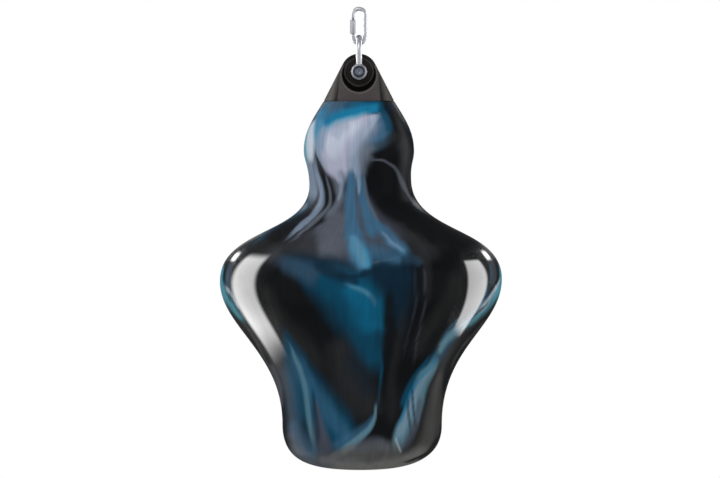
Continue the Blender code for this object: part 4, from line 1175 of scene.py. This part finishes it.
def cover(column, row, points, softness):
    """How much a streak covers each place: most along its middle, half at its half width."""
    line = smooth_line(points)
    fade = smooth(np.minimum(np.arange(len(line)), np.arange(len(line))[::-1]) / len(line) / STREAK_TIP)
    nearest = np.full(len(column), np.inf)
    weight = np.zeros(len(column))
    for k, ((x, y, wide), (next_x, next_y, next_wide)) in enumerate(zip(line, line[1:])):
        way_x, way_y = next_x - x, next_y - y
        along = ((column - x) * way_x + (row - y) * way_y) / (way_x**2 + way_y**2 + TINY)
        along = np.clip(along, 0, 1)
        away = np.hypot(column - x - along * way_x, row - y - along * way_y)
        away /= wide + along * (next_wide - wide)
        closer = away < nearest
        nearest[closer] = away[closer]
        weight[closer] = (fade[k] + along * (fade[k + 1] - fade[k]))[closer]
    return weight * smooth((1 - nearest) / softness + 0.5)


def painted(column, row, grain, streaks):
    """The colour of each place, with every streak laid over those before it."""
    colour = np.tile(INK, (len(column), 1))
    for pigment, strength, softness, *points in streaks:
        reach = max(wide for _, _, wide in points) * (1 + softness / 2)
        low_x, low_y = (min(p[k] for p in points) - reach for k in (0, 1))
        high_x, high_y = (max(p[k] for p in points) + reach for k in (0, 1))
        near = (column > low_x) & (column < high_x) & (row > low_y) & (row < high_y)
        share = cover(column[near], row[near], points, softness)
        share = np.clip(share * (1 + GRAIN_DEPTH * grain[near]), 0, 1) * strength
        colour[near] += (np.array(pigment) - colour[near]) * share[:, None]
    return colour


def polished(side, turn, level, column, row):
    """How strong the coat is at each place: side is across the bag, and level a row."""
    away = np.abs(turn)
    shoulders = ramp(level, *SHOULDER_TOP) * (1 - ramp(level, *SHOULDER_FOOT))
    shoulders *= ramp(np.abs(np.sin(turn)), *SHOULDER_SIDE)
    polish = DULL + BACK_POLISH * shoulders * ramp(away, *BACK_TURN)
    ahead = 1 - ramp(away, *POLISH_TURN)
    ahead *= 1 - LEFT_FADE * (side < 0) * ramp(level, *LEFT_FADE_ROWS)
    for strength, softness, *line in POLISH:
        polish = np.maximum(polish, strength * ahead * cover(column, row, line, softness))
    beside = ramp(away, *FLANK_BEGINS) * (1 - ramp(away, *FLANK_ENDS))
    return polish * (1 - FLANK_DULLNESS * beside * ramp(level, *FLANK_ROWS))


def paint(made):
    """Writes the marbled pattern and the painted reflections into the skin's colour attribute, and the polish
    into its alpha.
    """
    points = coordinates(made.data)
    turn = np.arctan2(points[:, 0], -points[:, 1])
    back = ramp(np.abs(turn), *BACK_TURN)
    noise.seed_set(STIR_SEED)
    drift = noises(points, DRIFT_SCALE, noise.noise_vector)
    ripple = noises(points, RIPPLE_SCALE, noise.noise_vector)
    grain = noises(points, GRAIN_SCALE)
    column, row = in_photo(points)
    behind = HOOK_X + BACK_SPREAD * np.sign(turn) * (pi - np.abs(turn))
    level = HOOK_Y - points[:, 2] / PIXEL
    colour = np.zeros((len(points), 3))
    for share, across, down, streaks in (
        (1 - back, column, row, FRONT_STREAKS),
        (back, behind, level, BACK_STREAKS),
    ):
        drawn_x = across + DRIFT * drift[:, 0] + RIPPLE_ACROSS * ripple[:, 0]
        drawn_y = down + DRIFT * drift[:, 2] + RIPPLE_DOWN * ripple[:, 2]
        colour += share[:, None] * painted(drawn_x, drawn_y, grain, streaks)
    polish = polished(points[:, 0], turn, level, column, row)
    layer = made.data.color_attributes.new(PAINT_LAYER, "FLOAT_COLOR", "POINT")
    layer.data.foreach_set("color", np.hstack([colour, polish[:, None]]).astype(np.float32).ravel())


def valve_frame():
    """The place and the turn of the valve: its Z axis points out of the bag."""
    joint = next(joint for joint in frame["joints"] if joint["name"] == "plug_turn")
    turn = Vector(joint["axis"]).to_track_quat("Z", "Y").to_matrix().to_4x4()
    return Matrix.Translation(joint["pos_m"]) @ turn


def pad_side():
    """The pad's side, with a rounded upper edge."""
    middle = Vector((PAD_WIDTH / 2 - PAD_ROUNDING, PAD_HEIGHT - PAD_ROUNDING))
    turns = [pi / 2 * k / PAD_STEPS for k in range(PAD_STEPS + 1)]
    return [(PAD_WIDTH / 2, -WALL), *(middle + PAD_ROUNDING * Vector((cos(t), sin(t))) for t in turns)]


def add_water(surface):
    """The water stands up to the widest part of the head, and sways with the skin."""
    side = bag_side(WALL + GAP + WOBBLE, OUTER_STEPS, first_span=1)
    made = as_object("water", turned([(0, side[0].y), *side], BAG_ROUND), surface)
    hang(made.data)
    stands_for(made, "bag", "water_fill")


def add_bag(surface):
    """The skin with its rim, the raised pad that the valve is sealed on, and the valve's hole."""
    top = BOLT_HEIGHT - CAP_DEPTH - GAP
    mouth = CAP_RIM + BAG_LIP - RIM_WIDTH
    inner = bag_side(WALL, INNER_STEPS, start=INNER_START)
    lip = (CAP_RIM - 2 * BAG_LIP, top + 2 * GAP), (mouth, top + 2 * GAP)
    outline = [*bag_side(0, OUTER_STEPS)[::-1], *lip, (mouth, top - RIM_THICKNESS), *inner]
    made = as_object("bag_skin", turned(outline, BAG_ROUND), surface)
    hang(made.data, WOBBLE)
    pad = as_object("pad", turned([(0, -WALL), *pad_side(), (0, PAD_HEIGHT)], VALVE_ROUND), surface)
    pad.data.transform(valve_frame())
    combine(made, pad, "UNION")
    drill = cylinder(BARREL_WIDTH + 2 * GAP, -PAD_WIDTH, PAD_WIDTH, around=VALVE_ROUND)
    hole = as_object("hole", drill, surface)
    hole.data.transform(valve_frame())
    combine(made, hole, "DIFFERENCE")
    paint(made)
    stands_for(made, "bag", "bag_shell")


def add_cap(surface):
    """The moulded cap, with the edges that its mould rounds."""
    shape = bmesh.new()
    shape.from_mesh(frame["nodes"]["eye_cap"].data)
    bmesh.ops.remove_doubles(shape, verts=shape.verts, dist=TINY)
    made = as_object("moulded_cap", shape, surface)
    melted(made, CAP_VOXEL, CAP_RELAXING)
    stands_for(made, "bag", "eye_cap", angle=NEVER_CRISP)


def add_link(steel):
    bend = (LINK_WIDTH - LINK_WIRE) / 2
    upper = LINK_WIRE / 2 - bend
    lower = upper - (LINK_LENGTH - LINK_WIDTH)
    throat_low = lower + LINK_STUB
    throat_high = throat_low + LINK_THROAT
    threaded = LINK_THREAD * LINK_THREADS_ABOVE
    stub_thread = LINK_THREAD * LINK_THREADS_BELOW
    moves = (
        ("run", threaded, LINK_THREAD, LINK_THREAD_DEPTH),
        ("run", upper - throat_high - threaded, LINK_WIDTH, 0),
        ("bend", (0, 0, upper), (0, 1, 0)),
        ("run", lower - upper, LINK_WIDTH, 0),
        ("bend", (0, 0, lower), (0, 1, 0)),
        ("run", LINK_STUB - stub_thread, LINK_WIRE, 0),
        ("run", stub_thread, LINK_THREAD, LINK_THREAD_DEPTH),
    )
    wire = as_object("link_wire", bent_rod(LINK_WIRE, (-bend, 0, throat_high), moves), steel)
    stands_for(wire, "link", "link_body", angle=WIRE_CRISP)
    plating = zinc_steel("sleeve_steel", SLEEVE_TONE)
    sleeve = hexagon("screw_sleeve", plating, SLEEVE_FLATS, SLEEVE_EDGE, 0, SLEEVE_LENGTH)
    bore = LINK_WIRE / 2 + GAP
    low_flare = [(0, -SLEEVE_FLARE), (bore + 2 * SLEEVE_FLARE, -SLEEVE_FLARE), (bore, SLEEVE_FLARE)]
    high_flare = [(radius, SLEEVE_LENGTH - height) for radius, height in reversed(low_flare)]
    drill = as_object("drill", turned(low_flare + high_flare, STEEL_ROUND), steel)
    combine(sleeve, drill, "DIFFERENCE")
    round_edges(sleeve, SLEEVE_ROUNDING)
    place = Matrix.Translation((-bend, 0, throat_low - SLEEVE_LAP)) @ Matrix.Rotation(pi / 2, 4, "Z")
    stands_for(sleeve, "sleeve", "link_sleeve", place)


def add_bow(steel):
    """The forged bow: its ends are flattened to eyes, with a smooth root between rod and eye."""
    leg = (SHACKLE_SPREAD + SHACKLE_EYE_THICKNESS) / 2
    crown = BOLT_HEIGHT + SHACKLE_REACH + SHACKLE_ROD / 2 - leg
    hole = BOLT + 2 * GAP
    foot = BOLT_HEIGHT + (hole + SHACKLE_EYE) / 4  # in the middle of the eye's wall
    moves = (
        ("run", crown - foot, SHACKLE_SPREAD, 0),
        ("bend", (0, 0, crown), (-1, 0, 0)),
        ("run", foot - crown, SHACKLE_SPREAD, 0),
    )
    bow = as_object("forged_bow", bent_rod(SHACKLE_ROD, (0, -leg, foot), moves), steel)
    inner = SHACKLE_SPREAD / 2
    outer = inner + SHACKLE_EYE_THICKNESS
    for low, high in ((inner, outer), (-outer, -inner)):
        eye = as_object("eye", cylinder(SHACKLE_EYE, low, high, SHACKLE_EYE_ROUNDING), steel)
        eye.data.transform(BOLT_PLACE)
        combine(bow, eye, "UNION")
    melted(bow, BOW_VOXEL, BOW_RELAXING)
    drill = as_object("drill", cylinder(hole, -2 * outer, 2 * outer), steel)
    drill.data.transform(BOLT_PLACE)
    combine(bow, drill, "DIFFERENCE")
    stands_for(bow, "shackle", "shackle_bow", angle=WIRE_CRISP)
    return outer + GAP


def add_bolt(steel, nylon, seat):
    """The bolt lies along Z, which points to the front, with its nut there."""
    hole = BOLT + 2 * GAP
    washer_end = seat + WASHER_THICKNESS
    for name, node, low, high in (
        ("front_washer", "washer_front", seat, washer_end),
        ("back_washer", "washer_back", -washer_end, -seat),
    ):
        washer = as_object(name, ring(hole, WASHER, low, high, WASHER_ROUNDING), steel)
        stands_for(washer, "shackle", node, BOLT_PLACE)
    bush_end = SHACKLE_SPREAD / 2 - GAP
    bush = as_object("spacer_bush", ring(hole, BUSH, -bush_end, bush_end, BUSH_ROUNDING), steel)
    stands_for(bush, "shackle", "eye_bush", BOLT_PLACE)
    nut_low = washer_end + GAP
    nut_high = nut_low + NUT_HEIGHT
    hex_high = nut_high - NUT_COLLAR
    ring_high = nut_high - LOCK_RING_SINK
    ring_low = ring_high - LOCK_RING_HEIGHT
    nut = hexagon("lock_nut", zinc_steel("nut_steel", NUT_TONE), HEX_FLATS, HEX_EDGE, nut_low, hex_high)
    collar = cylinder(NUT_COLLAR_WIDTH, hex_high - NUT_COLLAR, nut_high, NUT_COLLAR_ROUNDING)
    combine(nut, as_object("collar", collar, steel), "UNION")
    mouth = hole / 2 + NUT_CHAMFER + CUT_CLEAR
    recess = LOCK_RING / 2 + GAP
    bore = [(0, nut_low - NUT_COLLAR), (mouth, nut_low - NUT_COLLAR), (mouth, nut_low - CUT_CLEAR)]
    bore += [(hole / 2, nut_low + NUT_CHAMFER), (hole / 2, ring_low - GAP), (recess, ring_low - GAP)]
    bore += [(recess, nut_high + NUT_COLLAR), (0, nut_high + NUT_COLLAR)]
    combine(nut, as_object("bore", turned(bore, STEEL_ROUND), steel), "DIFFERENCE")
    round_edges(nut, NUT_ROUNDING)
    stands_for(nut, "shackle", "shackle_nut", BOLT_PLACE)
    lock = as_object("nylon_ring", ring(hole, LOCK_RING, ring_low, ring_high, LOCK_RING_ROUNDING), nylon)
    stands_for(lock, "shackle", "nut_lock_ring", BOLT_PLACE)
    head_high = -washer_end - GAP
    head_low = head_high - BOLT_HEAD
    tip = nut_high + BOLT_TAIL
    bolt_finish = zinc_steel("bolt_steel", BOLT_TONE, tip - BOLT_TIP)
    bolt = hexagon("bolt", bolt_finish, HEX_FLATS, HEX_EDGE, head_low, head_high)
    round_edges(bolt, BOLT_HEAD_ROUNDING)
    side = thread(BOLT, BOLT_THREAD_DEPTH, nut_low - GAP, tip - BOLT_TIP, BOLT_PITCH)
    middle = (head_low + head_high) / 2
    shank = [(0, middle), (BOLT / 2, middle), *side, (BOLT / 2 - BOLT_TIP, tip)]
    shank += [(DIMPLE / 2, tip), (DIMPLE_FLOOR / 2, tip - DIMPLE_FOOT), (0, tip - DIMPLE_DEPTH)]
    combine(bolt, as_object("shank", turned(shank, STEEL_ROUND), steel), "UNION")
    stands_for(bolt, "shackle", "shackle_bolt", BOLT_PLACE)


def add_valve(moulding, rubber):
    """The valve's pieces stand along Z, which points out of the bag."""
    place = valve_frame()
    flange_low = PAD_HEIGHT + GAP
    flange_high = flange_low + FLANGE_HEIGHT
    inner_end = flange_low - BARREL_LENGTH
    rim = FLANGE_WIDTH / 2
    barrel = [(VALVE_BORE / 2, inner_end), (BARREL_WIDTH / 2, inner_end), (BARREL_WIDTH / 2, flange_low)]
    barrel += [(rim, flange_low), (rim, flange_high)]
    barrel += [(rim - inset, flange_high - sunk) for inset, sunk in GROOVE]
    barrel.append((VALVE_BORE / 2, flange_high))
    body = as_object("valve_flange", turned(eased(barrel, FLANGE_ROUNDING), STEEL_ROUND), moulding)
    stands_for(body, "bag", "valve_body", place)
    seal_low = flange_high + GAP
    seal_high = seal_low + SEAL_HEIGHT
    seal = as_object("sealing_ring", ring(VALVE_BORE, SEAL_WIDTH, seal_low, seal_high, SEAL_ROUNDING), rubber)
    stands_for(seal, "seal", "valve_seal", place)
    head_low = seal_high + GAP
    head_high = head_low + PLUG_HEAD_HEIGHT
    shank = VALVE_BORE - 2 * GAP
    foot = head_low - PLUG_SHANK
    side = thread(shank, PLUG_THREAD_DEPTH, foot, foot + PLUG_THREADS * PLUG_PITCH, PLUG_PITCH)
    head = [(PLUG_HEAD / 2, head_low), (PLUG_HEAD / 2, head_high), (0, head_high)]
    outline = [(0, foot), *side, (shank / 2, head_low), *eased(head, PLUG_HEAD_ROUNDING)]
    plug = as_object("screw_plug", turned(outline, STEEL_ROUND), moulding)
    half = PLUG_SLOT / 2
    slot = [(PLUG_HEAD, half), (-PLUG_HEAD, half), (-PLUG_HEAD, -half), (PLUG_HEAD, -half)]
    cutter = as_object("slot", prism(slot, head_high - PLUG_SLOT_DEPTH, head_high + PLUG_HEAD), moulding)
    combine(plug, cutter, "DIFFERENCE")
    grips = bmesh.new()
    for turn in (2 * pi * k / PLUG_GRIPS for k in range(PLUG_GRIPS)):
        spot = Matrix.Translation((PLUG_HEAD / 2 * cos(turn), PLUG_HEAD / 2 * sin(turn), head_high))
        bmesh.ops.create_cone(
            grips,
            cap_ends=True,
            segments=GRIP_ROUND,
            radius1=GRIP_RADIUS,
            radius2=GRIP_RADIUS,
            depth=GRIP_LENGTH,
            matrix=spot,
        )
    combine(plug, as_object("grips", grips, moulding), "DIFFERENCE")
    round_edges(plug, PLUG_ROUNDING, GRIPS_ROUNDED)
    stands_for(plug, "plug", "valve_plug", place)


def aimed(name, data, place, target):
    """Puts a camera or a lamp at a place, turned to a target."""
    made = bpy.data.objects.new(name, data)
    made.location = place
    made.rotation_euler = (Vector(target) - Vector(place)).to_track_quat("-Z", "Y").to_euler()
    bpy.context.scene.collection.objects.link(made)
    return made


def add_camera():
    stand, target = camera_aim()
    data = bpy.data.cameras.new("camera")
    data.sensor_width = SENSOR_MM
    data.lens = SENSOR_MM * (target - stand).length / (PHOTO_WIDTH * PIXEL)
    bpy.context.scene.camera = aimed("camera", data, stand, target)


def add_key_light():
    """One large soft panel, above and to the left of the camera."""
    data = bpy.data.lights.new("key", "AREA")
    data.shape = "RECTANGLE"
    data.size = KEY_WIDTH
    data.size_y = KEY_WIDTH
    data.energy = KEY_RADIANCE * pi * KEY_WIDTH * KEY_WIDTH
    aimed("key", data, KEY_PLACE, KEY_TARGET).visible_camera = False


def add_floor():
    """The pale floor that the bag hangs over, far enough below to stay out of the picture."""
    finish = Finish("pale_floor", {"Specular IOR Level": 0.1})
    colour = finish.mix(finish.noise(FLOOR_CLOUD), *PALE_FLOOR)
    finish.feed(base_color=colour, roughness=finish.noise(FLOOR_WEAR) * 0.1 + 0.7)
    shape = bmesh.new()
    bmesh.ops.create_circle(shape, cap_ends=True, radius=FLOOR_WIDTH / 2, segments=FLOOR_ROUND)
    bmesh.ops.translate(shape, verts=shape.verts, vec=(0, 0, FLOOR_HEIGHT))
    as_object("floor", shape, finish.material)


def facing_strips(recipe, way):
    """The strips and spots that the shoulders show at the front.

    They stand where a mirror has to face to show them to the camera. There, side is how far round
    the mirror is turned, as a share of the turned bag's half width, and rise how far up.
    """
    facing = recipe.add("ShaderNodeVectorMath", {"operation": "SUBTRACT"}, {0: way, 1: (0, 1, 0)})
    facing = recipe.add("ShaderNodeVectorMath", {"operation": "NORMALIZE"}, {0: facing})
    turned_x, turned_y, rise = recipe.split(facing)
    side = turned_x / (turned_x * turned_x + turned_y * turned_y + TINY) ** 0.5
    bow = rise * rise
    outer = LEFT_OUTER - rise * LEFT_LEAN - bow * LEFT_BOW
    left = recipe.strip(0 - side, LEFT_INNER - bow * STRIP_BOW, outer, LEFT_SOFT)
    left = left * (1 - recipe.step(rise, *LEFT_TOP))
    right = recipe.strip(side, RIGHT_INNER, RIGHT_OUTER - bow * STRIP_BOW, RIGHT_SOFT)
    right = right * (1 - recipe.step(rise, *RIGHT_TOP))
    spots = recipe.strip(0 - side, *LEFT_SPOT, SPOT_SOFT) + recipe.strip(side, *RIGHT_SPOT, SPOT_SOFT)
    spots = spots * recipe.strip(rise, *SPOT_RISE, SPOT_RISE_SOFT)
    strips = (left * LEFT_LIGHT + right * RIGHT_LIGHT) * recipe.step(rise, *STRIP_FOOT)
    return strips + spots * SPOT_LIGHT


def near_strips(recipe, way):
    """Strips in front of the bag, to the left and right, which its shoulders show from behind."""
    across, ahead, height = recipe.split(way)
    level = (across * across + ahead * ahead + TINY) ** 0.5
    bow = (height * height) ** NEAR_BOW
    sides = recipe.strip(0 - ahead / level - bow, *NEAR_SIDES, NEAR_SOFT)
    return sides * recipe.strip(height, *NEAR_RISE, NEAR_RISE_SOFT)


def room(recipe, way):
    """The light of the plain room, which each of its sides adds to."""
    _, ahead, height = recipe.split(way)
    light = ROOM_LIGHT
    sides = (ahead, BACKDROP), (0 - ahead, FRONT_WALL), (height, CEILING), (0 - height, GROUND)
    for toward, (begin, full, strength) in sides:
        light = light + recipe.step(toward, begin, full) * strength
    return light


def add_world():
    """White behind the object and in what glass shows of it, and a plain studio around."""
    world = bpy.data.worlds.new("studio")
    world.use_nodes = True
    bpy.context.scene.world = world
    recipe = Recipe(world.node_tree)
    rays = recipe.add("ShaderNodeLightPath")
    camera = rays.sibling("Is Camera Ray")
    glossy = rays.sibling("Is Glossy Ray")
    through = rays.sibling("Is Transmission Ray")
    way = recipe.add("ShaderNodeTexCoord", output="Generated")
    studio = facing_strips(recipe, way) + near_strips(recipe, way) * NEAR_LIGHT + room(recipe, way)
    plain = (1 - camera) * (1 - through) * (1 - glossy)
    strength = camera + through + glossy * studio + plain * AMBIENT
    background = world.node_tree.nodes["Background"]
    world.node_tree.links.new(strength.socket, background.inputs["Strength"])
    background.inputs["Color"].default_value = (1, 1, 1, 1)


def main():
    bpy.context.scene.view_settings.view_transform = "Standard"
    add_camera()
    add_key_light()
    add_world()
    add_floor()
    moulding = black_moulding()
    steel = zinc_steel()
    add_bag(marbled_vinyl())
    add_cap(cap_moulding())
    add_link(steel)
    add_bolt(steel, blue_nylon(), add_bow(steel))
    add_valve(moulding, black_rubber())
    add_water(water())


main()
